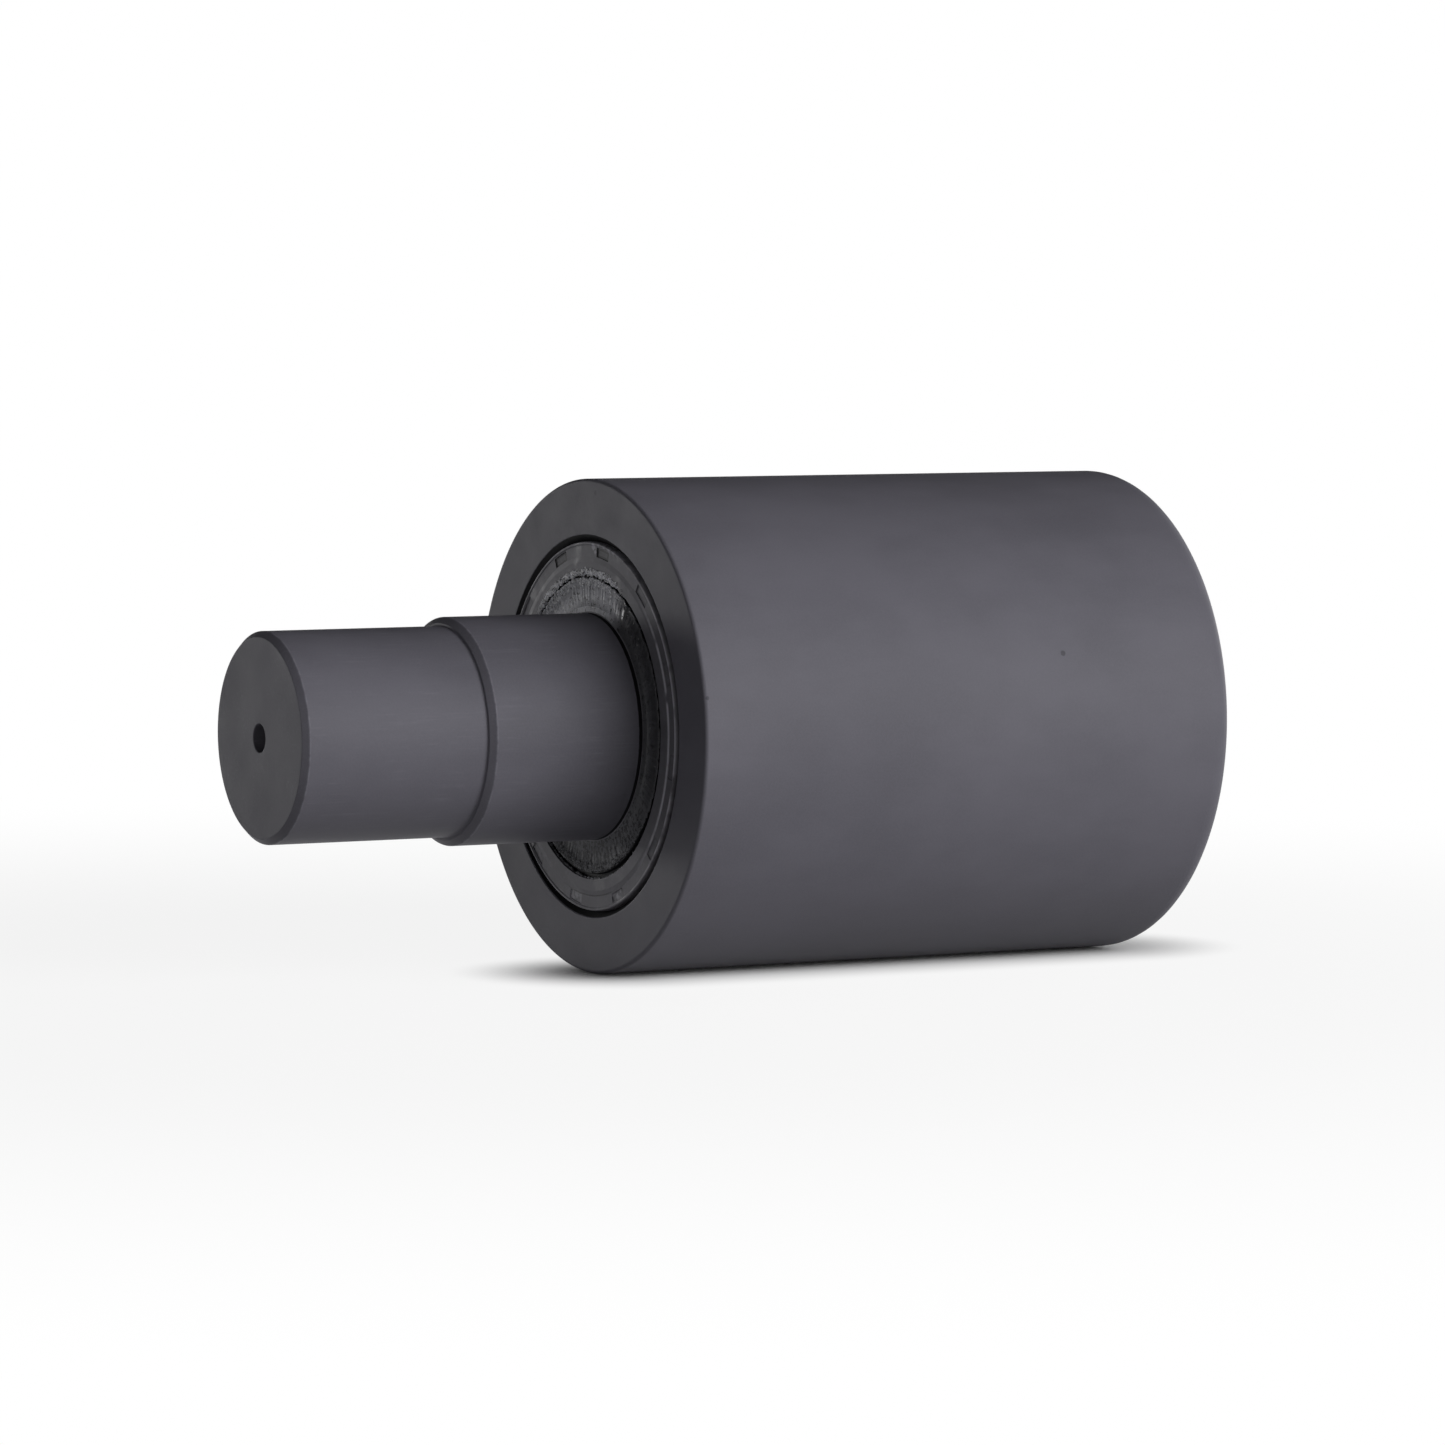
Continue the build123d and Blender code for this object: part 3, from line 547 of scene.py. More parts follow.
def crumb_tree(name):
    """Crumbs of grease: lumps dropped on the ground piece inside a part of a ring."""
    graph, given = new_tree(name, [
        ("Count", "Int", 100), ("From Angle", "Float", 0.0), ("To Angle", "Float", FULL_TURN),
        ("Inner Radius", "Float", 0.02), ("Outer Radius", "Float", 0.025), ("Smallest", "Float", 0.0001),
        ("Largest", "Float", 0.0003), ("Clumping", "Float", 0.45), ("Seed", "Int", 1),
        ("Station", "Float", 0.02), ("Ground", "Object", None)])
    points = graph.node("GeometryNodePoints", {"Count": given.out("Count")})

    def between(low, high, seed):
        return graph.node("FunctionNodeRandomValue", {2: low, 3: high, 8: given.out("Seed") + seed}, 1,
                          data_type="FLOAT")

    angle = between(given.out("From Angle"), given.out("To Angle"), 0)
    radius = between(given.out("Inner Radius"), given.out("Outer Radius"), 1)
    ground = graph.node("GeometryNodeObjectInfo", {0: given.out("Ground")}, output="Geometry")
    above = round_axis(graph, radius, given.out("Station"), angle)
    hit = graph.node("GeometryNodeRaycast", {
        "Target Geometry": ground, "Source Position": above, "Ray Direction": (0.0, 1.0, 0.0),
        "Ray Length": 0.02}, output="Hit Position")
    dropped = graph.node("GeometryNodeSetPosition", {"Geometry": points, "Position": hit})
    position = graph.node("GeometryNodeInputPosition")
    _, station, _ = graph.apart(position)
    landed = graph.node("GeometryNodeDeleteGeometry", {
        "Geometry": dropped, "Selection": given.out("Station") > station})
    clump = graph.noise(position, 900.0)
    size = between(given.out("Smallest"), given.out("Largest"), 2)
    euler = graph.vector(*[between(0.0, FULL_TURN, seed) for seed in (3, 4, 5)])
    rotation = graph.node("FunctionNodeEulerToRotation", {0: euler})
    scale = graph.vector(size * between(0.8, 2.0, 6), size, size * between(0.6, 1.1, 7))
    crumbs = graph.node("GeometryNodeInstanceOnPoints", {
        "Points": landed, "Selection": clump > given.out("Clumping"), "Instance": given,
        "Rotation": rotation, "Scale": scale})
    return closed_tree(graph, crumbs, given)


TREES = {"Turned piece": turned_tree, "Moulded ring": sector_tree, "Grease film": grease_tree,
         "Grease crumbs": crumb_tree}


def grown(name, tree_name, start, sizes):
    """What a node tree, built when first needed, makes of a mesh, as an object with a plain mesh."""
    tree = bpy.data.node_groups.get(tree_name) or TREES[tree_name](tree_name)
    piece = link_object(name, start)
    modifier = piece.modifiers.new(tree.name, "NODES")
    modifier.node_group = tree
    known = {item.name: item.identifier for item in tree.interface.items_tree if item.in_out == "INPUT"}
    for label, value in sizes.items():
        modifier[known[label]] = value
    graph = bpy.context.evaluated_depsgraph_get()
    mesh = bpy.data.meshes.new_from_object(piece.evaluated_get(graph), depsgraph=graph)
    piece.modifiers.clear()
    piece.data = mesh
    mesh.name = name
    mesh.materials.clear()
    mesh.materials.append(sizes["Finish"])
    mesh.polygons.foreach_set("material_index", [0] * len(mesh.polygons))
    return face_outwards(piece)


def face_outwards(piece):
    """Turns a piece's faces outwards. A piece without faces is an error."""
    solid = bmesh.new()
    solid.from_mesh(piece.data)
    bmesh.ops.recalc_face_normals(solid, faces=solid.faces)
    if solid.calc_volume(signed=True) < 0:
        bmesh.ops.reverse_faces(solid, faces=solid.faces)
    if not len(solid.faces):
        raise RuntimeError(piece.name + " has no faces")
    solid.to_mesh(piece.data)
    solid.free()
    return piece


def stands_for(piece, body, slot, *nodes):
    """The piece moves with its body and takes the place of its CAD nodes. The slot is not used."""
    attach(piece, body)
    if nodes:
        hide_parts(*nodes)


def turned(name, corners, finish, segments, closed=False):
    """A turned piece from its corners."""
    start = line_mesh(rounded(corners, closed))
    return grown(name, "Turned piece", start, {"Segments": segments, "Finish": finish})


def lump_mesh(seed):
    """A small uneven blob of grease, about one unit in radius."""
    solid = bmesh.new()
    bmesh.ops.create_icosphere(solid, subdivisions=2, radius=1.0)
    for vert in solid.verts:
        vert.co *= 1.0 + 0.45 * noise.noise(vert.co * 1.3 + Vector((seed, 0.3, 0.7)))
    mesh = bpy.data.meshes.new("lump")
    solid.to_mesh(mesh)
    solid.free()
    return mesh


def joined(name, pieces):
    """Several plain mesh objects made one, each part keeping its material."""
    solid = bmesh.new()
    finishes = []
    for piece in pieces:
        finish = piece.data.materials[0]
        if finish not in finishes:
            finishes.append(finish)
        before = len(solid.faces)
        solid.from_mesh(piece.data)
        solid.faces.ensure_lookup_table()
        for face in solid.faces[before:]:
            face.material_index = finishes.index(finish)
    mesh = bpy.data.meshes.new(name)
    solid.to_mesh(mesh)
    solid.free()
    for finish in finishes:
        mesh.materials.append(finish)
    for piece in pieces:
        bpy.data.objects.remove(piece)
    return link_object(name, mesh)


def length_value(name, description, default, **limits):
    return bpy.props.FloatProperty(name=name, description=description, default=default,
                                   subtype="DISTANCE", unit="LENGTH", precision=5, **limits)


def angle_value(name, description, degrees):
    return bpy.props.FloatProperty(name=name, description=description, default=math.radians(degrees),
                                   subtype="ANGLE", unit="ROTATION")


def colour_value(name, description, default):
    return bpy.props.FloatVectorProperty(name=name, description=description, default=default,
                                         subtype="COLOR")


class RollerSizes(bpy.types.PropertyGroup):
    """Sizes of the visible pieces that may be changed without leaving the CAD model."""

    segments: bpy.props.IntProperty(
        name="Turned segments", description="Faces round each turned piece", default=288,
        min=48, max=720)
    edge: length_value("Edge rounding", "Radius that paint gives a machined edge", 0.00022,
                       min=0.00005, max=0.0005)
    pockets: bpy.props.IntProperty(
        name="Seal pockets", description="Moulding pockets round the seal's channel", default=12,
        min=4, max=24)
    first_pocket: angle_value("First pocket", "Angle of the first pocket from the top", 9.7)
    pocket_width: length_value("Pocket width", "Width of each pocket along the channel", 0.0043)
    pocket_depth: length_value("Pocket depth", "Depth of each pocket below the channel", 0.00014)
    wave: length_value("Grease wave", "Slow swell of the wet grease", 0.0001)
    lump: length_value("Grease lumps", "Height of the crusted grease", 0.00045)


class RollerColours(bpy.types.PropertyGroup):
    """Colours of the finishes."""

    paint: colour_value("Paint", "Satin dark grey paint", (0.117, 0.1135, 0.134))
    rubber: colour_value("Rubber", "Dusty moulded seal rubber", (0.168, 0.164, 0.184))
    grease: colour_value("Grease", "Black grease round the seal's lip", (0.011, 0.011, 0.012))
    zinc: colour_value("Zinc", "Zinc plating of the filler plug", (0.58, 0.58, 0.6))
    copper: colour_value("Copper", "Sealing washer", (0.72, 0.38, 0.25))
    spring: colour_value("Spring steel", "Blackened circlips", (0.06, 0.06, 0.062))
    ground_steel: colour_value("Bearing steel", "Ground bearing rings and balls", (0.62, 0.62, 0.62))


class StudioSettings(bpy.types.PropertyGroup):
    """Camera, lamps and floor."""

    lens: bpy.props.FloatProperty(
        name="Lens", description="Focal length in millimetres on a 36 mm sensor", default=164.9, min=20)
    azimuth: angle_value("Camera turn", "Camera's direction round the roller", 61.43)
    elevation: angle_value("Camera rise", "Camera's angle above the level", 3.8)
    distance: length_value("Distance", "Camera to the shell's front face", 1.1087)
    lamps: bpy.props.FloatProperty(
        name="Lamp level", description="Multiplies every lamp", default=1.0, min=0.0, max=4.0)
    floor: colour_value("Floor", "Pale floor, as light falls on it", (0.3, 0.3, 0.3))


# Softboxes: name, turn from +X towards -Y, rise, distance, width, height, watts
LAMPS = [
    ("key", -20, 25, 1.2, 0.8, 0.5, 6.3),
    ("right", -35, 5, 1.2, 0.8, 0.6, 6.9),
    ("front", -5, 12, 1.2, 0.5, 0.5, 2.3),
    ("front_left", 60, 8, 1.2, 0.6, 0.5, 1.4),
    ("left", 165, 2, 1.2, 0.5, 0.22, 2.1),
    ("rear", -110, 8, 1.2, 0.8, 0.8, 3.0),
]


class ROLLER_OT_studio(bpy.types.Operator):
    """Builds the floor, the world, the soft lamps and the camera"""

    bl_idname = "roller.studio"
    bl_label = "Studio"

    def execute(self, context):
        studio = context.scene.roller_studio
        self.floor(studio)
        self.world(context)
        for lamp in LAMPS:
            self.softbox(studio, *lamp)
        self.camera(context, studio)
        context.scene.view_settings.view_transform = "Standard"
        return {"FINISHED"}

    @staticmethod
    def floor(studio):
        """Pale round floor with a low wall: it keeps the shadow, and shows white, also in gloss."""
        f = Finish("pale_floor")
        away = (f.x * f.x + f.y * f.y) ** 0.5
        path = f.node("ShaderNodeLightPath", output="Is Camera Ray")
        bent = f.maths("MAXIMUM", path.out("Is Glossy Ray"), path.out("Is Transmission Ray"))
        seen = f.maths("MAXIMUM", path, bent)
        pale = f.mix(seen, tuple(studio.floor) + (1.0,), (0.9, 0.9, 0.9, 1.0))
        lit = f.node("ShaderNodeBsdfDiffuse", {"Color": pale})
        white = f.node("ShaderNodeEmission", {"Color": (1, 1, 1, 1), "Strength": 1.0})
        # Distance from the line on the floor that the shell rests on, 6 mm short of its ends
        past = f.maths("MAXIMUM", abs(f.y - (FACE + BACK) / 2 * MM) - 0.045, 0.0)
        beside = (f.x * f.x + past ** 2) ** 0.5
        share = seen * (0.88 + 0.12 * f.step(away, 0.12, 0.4)) * f.step(beside, 0.005, 0.03)
        mixed = f.node("ShaderNodeMixShader", {0: share, 1: lit, 2: white})
        f.node("ShaderNodeOutputMaterial", {"Surface": mixed})
        mesh = bpy.data.meshes.new("studio_floor")
        low = -SHELL_RADIUS * MM - 0.0001
        count = FLOOR_SIDES
        turns = [FULL_TURN * k / count for k in range(count)]
        rim = [(FLOOR_RADIUS * math.cos(turn), FLOOR_RADIUS * math.sin(turn)) for turn in turns]
        wall = [(k, (k + 1) % count, count + (k + 1) % count, count + k) for k in range(count)]
        mesh.from_pydata([(x, y, height) for height in (low, low + WALL_HEIGHT) for x, y in rim],
                         [], [tuple(range(count))] + wall)
        mesh.materials.append(f.material)
        link_object("studio_floor", mesh)

    @staticmethod
    def world(context):
        """Even, very low grey light, seen only above the wall."""
        world = bpy.data.worlds.new("studio_world")
        world.use_nodes = True
        world.node_tree.nodes.clear()
        graph = Graph(world.node_tree)
        fill = graph.node("ShaderNodeBackground", {"Color": (1, 1, 1, 1), "Strength": 0.01})
        graph.node("ShaderNodeOutputWorld", {"Surface": fill})
        context.scene.world = world

    @staticmethod
    def softbox(studio, name, turn, rise, distance, width, height, watts):
        """One rectangular area lamp aimed at the roller's middle."""
        lamp = bpy.data.lights.new(name, "AREA")
        lamp.shape = "RECTANGLE"
        lamp.size, lamp.size_y = width, height
        lamp.energy = watts * studio.lamps
        turn, rise = math.radians(turn), math.radians(rise)
        level = math.cos(rise)
        back = Vector((math.cos(turn) * level, -math.sin(turn) * level, math.sin(rise)))
        holder = link_object(name, lamp)
        holder.visible_camera = False
        turned_to = back.to_track_quat("Z", "Y").to_matrix().to_4x4()
        holder.matrix_world = Matrix.Translation(Vector(LAMP_TARGET) + back * distance) @ turned_to

    @staticmethod
    def camera(context, studio):
        """Camera at the photograph's viewing angle."""
        a, e = studio.azimuth, studio.elevation
        right = Vector((math.cos(a), math.sin(a), 0))
        look = Vector((-math.sin(a) * math.cos(e), math.cos(a) * math.cos(e), -math.sin(e)))
        up = right.cross(look)
        aim = Vector((0, FACE * MM, 0)) + right * CAMERA_RIGHT + up * CAMERA_UP
        data = bpy.data.cameras.new("studio_camera")
        data.lens, data.sensor_width = studio.lens, 36.0
        data.clip_start, data.clip_end = 0.05, 20.0
        holder = link_object("studio_camera", data)
        columns = Matrix((right, up, -look)).transposed().to_4x4()
        holder.matrix_world = Matrix.Translation(aim - look * studio.distance) @ columns
        context.scene.camera = holder


class PieceOperator:
    """What the operators of the pieces share: each builds from the scene's sizes and colours."""

    def execute(self, context):
        self.build(context.scene.roller_sizes, context.scene.roller_colours)
        return {"FINISHED"}


class ROLLER_OT_shaft(PieceOperator, bpy.types.Operator):
    """Turns the painted stub shaft, with its shoulder and centre holes"""

    bl_idname = "roller.shaft"
    bl_label = "Stub shaft"

    def build(self, sizes, colours):
        edge = sizes.edge / MM
        seat_back, groove = FRONT_BEARING[0], REAR_BEARING[1]
        corners = [
            (0, STUB_END + 12.412, 0), (CENTRE_HOLE, STUB_END + 11, 0.1), (CENTRE_HOLE, STUB_END, 0.18),
            (STUB_RADIUS - 1, STUB_END, edge), (STUB_RADIUS, STUB_END + 1, 1.4 * edge),
            (STUB_RADIUS, 0, 0.5), (SEAT_RADIUS - 1, 0, 0.14), (SEAT_RADIUS, 1, 1.6 * edge),
            (SEAT_RADIUS, seat_back, 0.15), (CORE_RADIUS, seat_back, 0.2), (CORE_RADIUS, groove, 0.05),
            (CLIP_GROOVE, groove, 0.1), (CLIP_GROOVE, groove + 1.65, 0.1),
            (CORE_RADIUS, groove + 1.65, 0.05), (CORE_RADIUS, SHAFT_BACK - 1, edge),
            (CORE_RADIUS - 1, SHAFT_BACK, edge), (3.35, SHAFT_BACK, 0.1),
            (1.575, SHAFT_BACK - 3.074, 0.1), (1.575, SHAFT_BACK - 8, 0.1), (0, SHAFT_BACK - 9.575, 0),
        ]
        # The seal end of the shaft's seat gets a matt dark ring: a smear of grease, and painted shade.
        paint = satin_paint(
            "shaft_paint", colours.paint, streaks=0.3, grease_and_shade=(SEAT_RADIUS, FACE + 0.3, 0.8),
            worn=[(STUB_RADIUS, STUB_END + 1, 0.3), (SEAT_RADIUS, 1, 0.3)])
        piece = turned("stub_shaft", corners, paint, sizes.segments)
        stands_for(piece, "shaft_group", "dark_paint", "shaft")


class ROLLER_OT_shell(PieceOperator, bpy.types.Operator):
    """Turns the thick painted shell that the track runs on"""

    bl_idname = "roller.shell"
    bl_label = "Roller shell"

    def build(self, sizes, colours):
        edge = sizes.edge / MM
        floor = BACK - COVER_RECESS - COVER_THICK
        clip_back, clip_front = BACK - 3.5, BACK - 6.15
        corners = [
            (32.2, FACE, edge), (SHELL_RADIUS, FACE, 0.6), (SHELL_RADIUS, BACK, 4.6),
            (33.3, BACK, edge), (COVER_BORE, BACK - 0.8, 0.1), (COVER_BORE, clip_back, 0.1),
            (34, clip_back, 0.1), (34, clip_front, 0.1), (COVER_BORE, clip_front, 0.1),
            (COVER_BORE, floor, 0.1), (BORE_RADIUS, floor, 0.1),
            (BORE_RADIUS, REAR_BEARING[0], 0.3), (WEB_RADIUS, REAR_BEARING[0], 0.2),
            (WEB_RADIUS, FRONT_BEARING[1], 0.2), (BORE_RADIUS, FRONT_BEARING[1], 0.3),
            (BORE_RADIUS, FRONT_BEARING[0], 0.05), (32.5, FRONT_BEARING[0], 0.1), (32.5, 36.35, 0.1),
            (BORE_RADIUS, 36.35, 0.05), (BORE_RADIUS, FACE + 1.2, 0.08),
        ]
        marks = [(39.6, 96.3, 12.4, 0.6, 0.5, 0.8), (41.0, FACE + 0.5, 7.0, 0.45, 0.5, 0.8),
                 (2.6, FACE, 39.2, 0.55, 0.6, 0.7)]
        # The gap between the shell's bore and the seal gets a matt dark ring: grease, and painted shade.
        paint = satin_paint("shell_paint", colours.paint, marks, grease_and_shade=(31.35, FACE + 0.7, 1.12))
        piece = turned("painted_shell", corners, paint, sizes.segments, closed=True)
        stands_for(piece, "roller", "dark_paint", "roller_shell")


SEAL_SECTION = [
    (29.3, 8.0, 0), (30.7, 8.0, 0), (31.0, 7.7, 0), (31.0, 0.4, 0.12), (30.85, 0.0, 0.14),
    (30.5, 0.0, 0.12), (30.35, 0.12, 0.1), (28.5, 0.12, 0.3), (27.6, 0.0, 0.3), (25.62, 0.0, 0.12),
    (25.47, 0.9, 0.08), (24.77, 0.9, 0.08), (24.62, 0.15, 0.08),
]
SEAL_LIPS = [
    (19.05, 0.15, 0.04), (19.05, 0.45, 0), (20.767, 1.7, 0), (21.1, 3.1, 0), (20.767, 4.217, 0),
    (19.05, 5.217, 0), (20.05, 6.85, 0), (21.75, 6.85, 0), (21.75, 6.44, 0), (21.1, 6.51, 0),
    (20.6, 6.02, 0), (20.55, 5.6, 0), (20.8, 5.17, 0), (21.35, 4.95, 0), (21.75, 5.06, 0),
    (21.75, 4.65, 0), (22.1, 3.1, 0), (23.1, 2.6, 0), (23.6, 2.1, 0), (22.6, 2.1, 0), (22.6, 1.3, 0),
    (29.5, 1.3, 0), (30.1, 1.9, 0), (30.1, 7.6, 0), (29.3, 7.6, 0),
]
# Pale scuffs round the first pocket: x, y, z, size, factor, strength
SCUFFS = [
    (1.7, FACE, 30.2, 0.75, 3.2, 0.9), (2.3, FACE, 29.3, 0.5, 3.0, 0.8),
    (3.6, FACE, 30.5, 0.5, 2.6, 0.7), (5.6, FACE, 30.2, 0.45, 2.4, 0.7),
    (7.4, FACE, 29.7, 0.6, 2.6, 0.8), (9.0, FACE, 29.4, 0.55, 2.6, 0.8),
]


def dish(radius):
    """Depth of the seal's dished lip below its face, in millimetres."""
    middle = (DISH_EDGE + DISH_INNER) / 2
    share = (radius - middle) / (DISH_EDGE - middle)
    return DISH_DEPTH - (DISH_DEPTH - DISH_LIP) * share * share


class ROLLER_OT_seal(PieceOperator, bpy.types.Operator):
    """Moulds the shaft seal from repeated sectors, each with one pocket in its channel"""

    bl_idname = "roller.seal"
    bl_label = "Shaft seal"

    def build(self, sizes, colours):
        arc = [DISH_EDGE + (DISH_INNER - DISH_EDGE) * k / DISH_STEPS for k in range(1, DISH_STEPS)]
        corners = SEAL_SECTION + [(radius, dish(radius), 0) for radius in arc] + SEAL_LIPS
        section = self.with_channel_rows(rounded(corners, closed=True))
        rows = len(section)
        pitch = FULL_TURN / sizes.pockets
        half = sizes.pocket_width / MM / 2 / POCKET_ARC
        even = [pitch * k / SECTOR_STEPS for k in range(SECTOR_STEPS + 1)]
        beside = [pitch / 2 + side * (half + step) for side in (-1, 1) for step in POCKET_COLUMNS]
        columns = sorted(set(even + beside))
        verts = []
        for angle in columns:
            turn = angle - pitch / 2 + sizes.first_pocket
            for radius, depth in section:
                drop = self.pocket(radius, depth, angle - pitch / 2, half, sizes.pocket_depth / MM)
                verts.append((radius * MM * math.sin(turn), (FACE + depth + drop) * MM,
                              radius * MM * math.cos(turn)))
        corners = [i * rows + j for i in range(len(columns) - 1) for j in range(rows - 1)]
        mesh = bpy.data.meshes.new("sector")
        mesh.from_pydata(verts, [], [(at, at + 1, at + rows + 1, at + rows) for at in corners])
        rubber = moulded_rubber("moulded_rubber", colours.rubber, (
            sizes.pockets, sizes.first_pocket, sizes.pocket_width / MM), SCUFFS)
        piece = grown("moulded_seal", "Moulded ring", mesh, {
            "Sectors": sizes.pockets, "Finish": rubber, "Sharp Angle": math.radians(48)})
        stands_for(piece, "roller", "seal_rubber", "seal_rubber")

    @staticmethod
    def with_channel_rows(section):
        """Rows across the channel's floor that the pockets' walls need."""
        found = []
        for here, there in zip(section, section[1:] + section[:1]):
            found.append(here)
            flat = all(abs(end[1] - CHANNEL_DEPTH) < 1e-3 for end in (here, there))
            if flat and here[0] > there[0]:
                found += [Vector((radius, CHANNEL_DEPTH)) for radius in CHANNEL_ROWS
                          if here[0] - 0.01 > radius > there[0] + 0.01]
        return found

    @staticmethod
    def pocket(radius, depth, angle, half, deep):
        """How far a point of the channel's floor is sunk by its pocket."""
        if abs(depth - CHANNEL_DEPTH) > 1e-3 or not POCKET_LOW < radius < POCKET_HIGH:
            return 0.0
        side = (half - abs(angle)) / 0.003
        end = min(POCKET_HIGH - radius, radius - POCKET_LOW) / 0.06
        return deep * max(0.0, min(1.0, side)) * max(0.0, min(1.0, end))


# Layers of crumbs: finish, count, from and to degrees, inner and outer radius, smallest and largest
# size in millimetres, clumping, seed
CRUMBS = [
    ("crumbly", 620, -50, 28, 25.3, 26.6, 0.05, 0.19, 0.44, 11),
    ("crumbly", 520, -52, 36, 23.6, 24.9, 0.05, 0.18, 0.45, 23),
    ("crumbly", 130, -52, 26, 19.6, 23.6, 0.04, 0.1, 0.48, 31),
    ("crumbly", 360, 128, 236, 23.0, 24.5, 0.05, 0.15, 0.44, 43),
    ("crumbly", 170, 130, 235, 19.6, 23.2, 0.04, 0.1, 0.48, 59),
    # Crumbs on the land's edge at the bottom, painted bright all over for glints
    ("glint_painted", 110, 140, 190, 25.5, 25.85, 0.05, 0.13, 0.4, 67),
    ("wet", 26, 45, 128, 20.0, 24.5, 0.05, 0.12, 0.4, 71),
    ("wet", 9, 32, 52, 21.4, 24.4, 0.1, 0.2, 0.0, 83),
]


class ROLLER_OT_grease(PieceOperator, bpy.types.Operator):
    """Lays the worked-out grease on the seal's lip, with its crust and crumbs"""

    bl_idname = "roller.grease"
    bl_label = "Grease"

    def build(self, sizes, colours):
        grease = worked_grease("worked_grease", colours.grease, 44.0)
        crust = worked_grease("crusted_grease", colours.grease, 84.0, lace=0.85)
        finishes = {
            "crumbly": worked_grease("grease_crumb", colours.grease, 88.0),
            "wet": worked_grease("wet_grease", colours.grease, 5.0, gloss=0.7),
            # Bright all over: painted glints on the crumbs that use it
            "glint_painted": worked_grease("chalky_grease", colours.grease, 60.0, everywhere=True),
        }
        film = self.film("grease_film", sizes, grease, 19.12, 24.95, 42, dish, 0.12)
        bead = self.film("grease_bead", sizes, crust, 25.36, 26.5, 9, lambda radius: 0.0, 0.02)
        ground = joined("grease_ground", [film, bead])
        crumbs = [
            grown("crumbs", "Grease crumbs", lump_mesh(seed), {
                "Count": count, "From Angle": math.radians(start), "To Angle": math.radians(end),
                "Inner Radius": inner * MM, "Outer Radius": outer * MM, "Smallest": small * MM,
                "Largest": large * MM, "Clumping": clump, "Seed": seed, "Station": (FACE - 6) * MM,
                "Ground": ground, "Finish": finishes[finish], "Sharp Angle": ALL_SMOOTH})
            for finish, count, start, end, inner, outer, small, large, clump, seed in CRUMBS]
        stands_for(joined("grease_crumbs", crumbs), "roller", "seal_rubber")
        stands_for(ground, "roller", "seal_rubber")
        ground.name = "lip_grease"

    @staticmethod
    def film(name, sizes, grease, inner, outer, rows, depth, thick):
        """A ring of grease on a surface of that depth. Its edges and its back lie in the rubber."""
        front = []
        for k in range(rows + 1):
            radius = inner + (outer - inner) * k / rows
            body = math.sin(math.pi * k / rows) ** 0.6 if 0 < k < rows else 0.0
            front.append((radius, FACE + depth(radius) - thick * body + 0.05 * (1 - body), body))
        back = [(radius, FACE + depth(radius) + 0.25, 0.0) for radius in (outer, inner)]
        points = front + back + front[:1]
        start = line_mesh(points, [body for _, _, body in points])
        return grown(name, "Grease film", start, {
            "Wave Height": sizes.wave, "Lump Height": sizes.lump, "Lump Size": 1.1, "Finish": grease,
            "Sharp Angle": ALL_SMOOTH})


class ROLLER_OT_end_cover(PieceOperator, bpy.types.Operator):
    """Turns the end cover of the hidden end"""

    bl_idname = "roller.end_cover"
    bl_label = "End cover"

    def build(self, sizes, colours):
        outside = BACK - COVER_RECESS
        inside = outside - COVER_THICK
        rim, groove, hole, seat = 32.45, 30.45, 5.0, 9.5
        edge = sizes.edge / MM
        corners = [
            (hole, inside, 0.1), (rim - 0.6, inside, 0.1), (rim, inside + 0.6, 0.1),
            (rim, inside + 1.9, 0.1), (groove, inside + 1.9, 0.2), (groove, inside + 5.1, 0.2),
            (rim, inside + 5.1, 0.1), (rim, outside - 0.6, edge), (rim - 0.6, outside, edge),
            (seat, outside, edge), (seat, outside - SPOT_FACE, 0.1), (hole, outside - SPOT_FACE, 0.1),
        ]
        paint = satin_paint("cover_paint", colours.paint)
        cover = turned("painted_end_cover", corners, paint, sizes.segments, closed=True)
        stands_for(cover, "roller", "dark_paint", "end_cover")


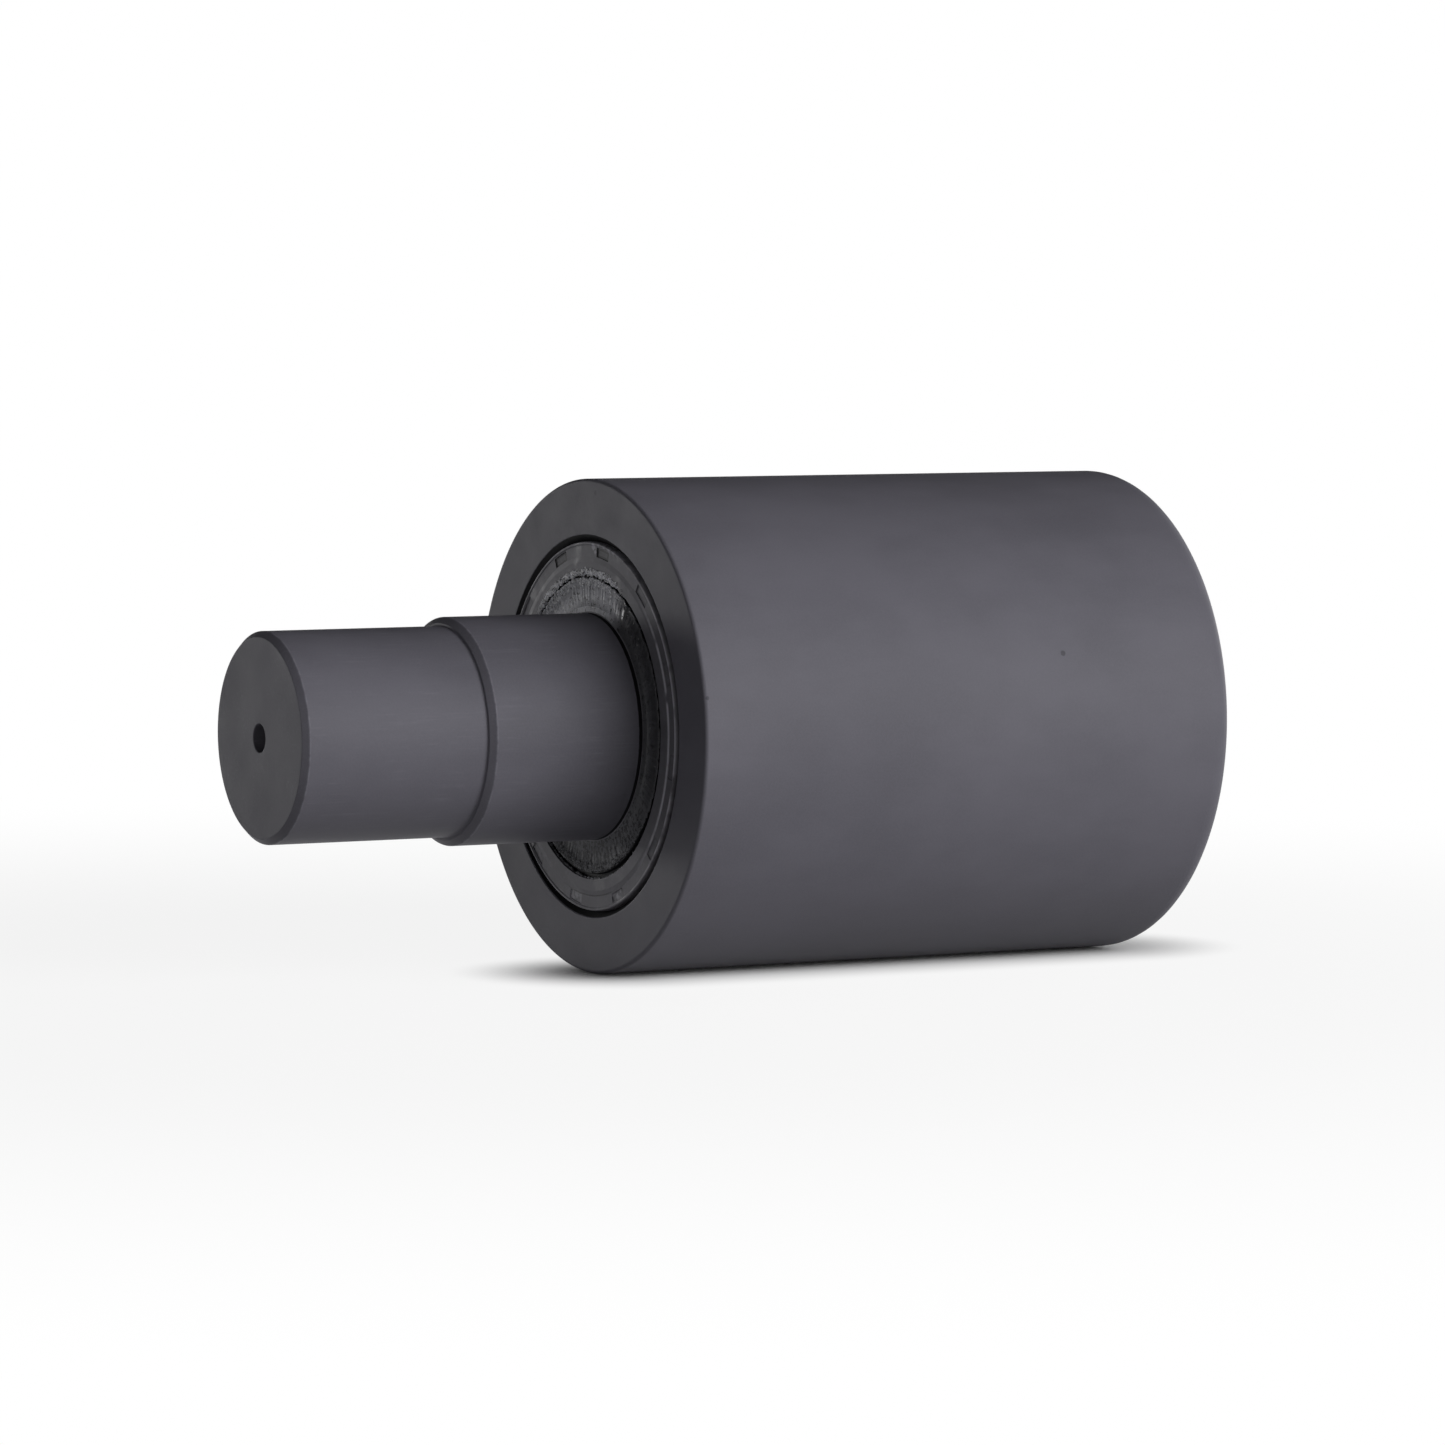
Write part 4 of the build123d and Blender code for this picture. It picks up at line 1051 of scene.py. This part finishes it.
class ROLLER_OT_filler_plug(PieceOperator, bpy.types.Operator):
    """Turns the collared filler plug with its hexagon socket, and its copper washer"""

    bl_idname = "roller.filler_plug"
    bl_label = "Filler plug"

    def build(self, sizes, colours):
        collar = BACK - COVER_RECESS - SPOT_FACE + WASHER
        top = collar + 3
        thread, brim = 5.0, 7.0
        corners = [
            (0, collar - 7.5, 0), (thread - 0.6, collar - 7.5, 0.1), (thread, collar - 6.9, 0.1),
            (thread, collar, 0.1), (brim, collar, 0.12), (brim, top - 0.6, 0.2), (brim - 0.6, top, 0.2),
            (SOCKET_HALF + 0.45, top, 0.15),
        ]
        plug = self.socketed(corners, top, worked_metal("zinc_plate", colours.zinc, 0.34, 0.25))
        stands_for(plug, "roller", "zinc_steel", "filler_plug")
        ring = [(thread, collar - WASHER, 0.08), (brim, collar - WASHER, 0.2), (brim, collar, 0.2),
                (thread, collar, 0.08)]
        copper = worked_metal("annealed_copper", colours.copper, 0.4, 0.4)
        washer = turned("copper_washer", ring, copper, PLUG_SIDES, closed=True)
        stands_for(washer, "roller", "copper", "filler_plug_washer")

    @staticmethod
    def socketed(corners, top, finish):
        """Turned plug whose last ring meets a hexagon socket with a coned floor."""
        def circle(angle):
            return 1.0

        def hexagon(angle):
            return 1 / math.cos((angle + math.pi / 6) % (math.pi / 3) - math.pi / 6)

        bottom, *outline = rounded(corners)
        rings = [(circle, radius, station) for radius, station in outline]
        rings += [(hexagon, scale * SOCKET_HALF, top - depth)
                  for scale, depth in ((1.03, 0.12), (1.0, 0.2), (1.0, 4.4), (0.96, 4.5))]
        verts, faces = [], []
        for shape, radius, station in rings:
            for k in range(PLUG_SIDES):
                angle = FULL_TURN * k / PLUG_SIDES
                reach = radius * shape(angle) * MM
                verts.append((reach * math.sin(angle), station * MM, reach * math.cos(angle)))
        around = [(k, (k + 1) % PLUG_SIDES) for k in range(PLUG_SIDES)]
        starts = [row * PLUG_SIDES for row in range(len(rings))]
        for low, high in zip(starts, starts[1:]):
            faces += [(low + k, low + n, high + n, high + k) for k, n in around]
        for start, station in ((starts[0], bottom.y), (starts[-1], top - 5.0)):
            faces += [(start + k, start + n, len(verts)) for k, n in around]
            verts.append((0, station * MM, 0))
        mesh = bpy.data.meshes.new("filler_plug_body")
        mesh.from_pydata(verts, [], faces)
        mesh.materials.append(finish)
        piece = link_object("collared_plug", mesh)
        mesh.shade_smooth()
        face_outwards(piece)
        mesh.set_sharp_from_angle(angle=math.radians(32))
        return piece


class ROLLER_OT_inner_finishes(bpy.types.Operator):
    """Gives the CAD pieces that stay their procedural finishes"""

    bl_idname = "roller.inner_finishes"
    bl_label = "Inner finishes"

    def execute(self, context):
        colours = context.scene.roller_colours
        steel = colours.ground_steel
        lathed = (1.0, 8.0, 1.0)
        rings = worked_metal("ground_rings", steel, 0.24, 0.3, lathed, 0.05)
        balls = worked_metal("polished_balls", steel, 0.1, 2.0, tone=0.03)
        cage = worked_metal("pressed_cage", shade(steel, 0.8), 0.36, 0.6)
        spacer = worked_metal("spacer_steel", shade(steel, 0.72), 0.38, 0.2, lathed)
        clip = worked_metal("blackened_clip", colours.spring, 0.42, 0.5)
        coils = worked_metal("garter_coils", shade(colours.spring, 3.0), 0.35, 0.35, lathed)
        o_ring = moulded_rubber("o_ring_rubber", shade(colours.rubber, 0.35))
        finishes = [
            ("inner_ring", rings), ("outer_ring", rings), ("balls", balls), ("cage", cage),
            ("rivets", cage), ("spacer", spacer), ("seal_case", spacer), ("circlip", clip),
            ("garter", coils), ("o_ring", o_ring),
        ]
        for node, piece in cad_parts.items():
            if piece.hide_render:
                continue
            finish = next(finish for part, finish in finishes if part in node)
            if not piece.data.materials:
                piece.data.materials.append(finish)
            for slot in piece.material_slots:
                slot.material = finish
        return {"FINISHED"}


OPERATORS = (ROLLER_OT_studio, ROLLER_OT_shaft, ROLLER_OT_shell, ROLLER_OT_seal, ROLLER_OT_grease,
             ROLLER_OT_end_cover, ROLLER_OT_filler_plug, ROLLER_OT_inner_finishes)


class ROLLER_PT_panel(bpy.types.Panel):
    """Sidebar list of the roller's pieces and values"""

    bl_idname = "ROLLER_PT_panel"
    bl_label = "Carrier roller"
    bl_space_type = "VIEW_3D"
    bl_region_type = "UI"
    bl_category = "Carrier roller"

    def draw(self, context):
        scene, layout = context.scene, self.layout
        for group in (scene.roller_sizes, scene.roller_colours, scene.roller_studio):
            box = layout.box()
            for name in group.__annotations__:
                box.prop(group, name)
        for operator_class in OPERATORS:
            layout.operator(operator_class.bl_idname)


GROUPS = (RollerSizes, RollerColours, StudioSettings)


def register():
    for group in GROUPS + OPERATORS + (ROLLER_PT_panel,):
        bpy.utils.register_class(group)
    bpy.types.Scene.roller_sizes = bpy.props.PointerProperty(type=RollerSizes)
    bpy.types.Scene.roller_colours = bpy.props.PointerProperty(type=RollerColours)
    bpy.types.Scene.roller_studio = bpy.props.PointerProperty(type=StudioSettings)


def unregister():
    del bpy.types.Scene.roller_studio
    del bpy.types.Scene.roller_colours
    del bpy.types.Scene.roller_sizes
    for group in reversed(GROUPS + OPERATORS + (ROLLER_PT_panel,)):
        bpy.utils.unregister_class(group)


def main():
    register()
    bpy.ops.roller.studio()
    bpy.ops.roller.shaft()
    bpy.ops.roller.shell()
    bpy.ops.roller.seal()
    bpy.ops.roller.grease()
    bpy.ops.roller.end_cover()
    bpy.ops.roller.filler_plug()
    bpy.ops.roller.inner_finishes()


if __name__ == "__main__":
    main()
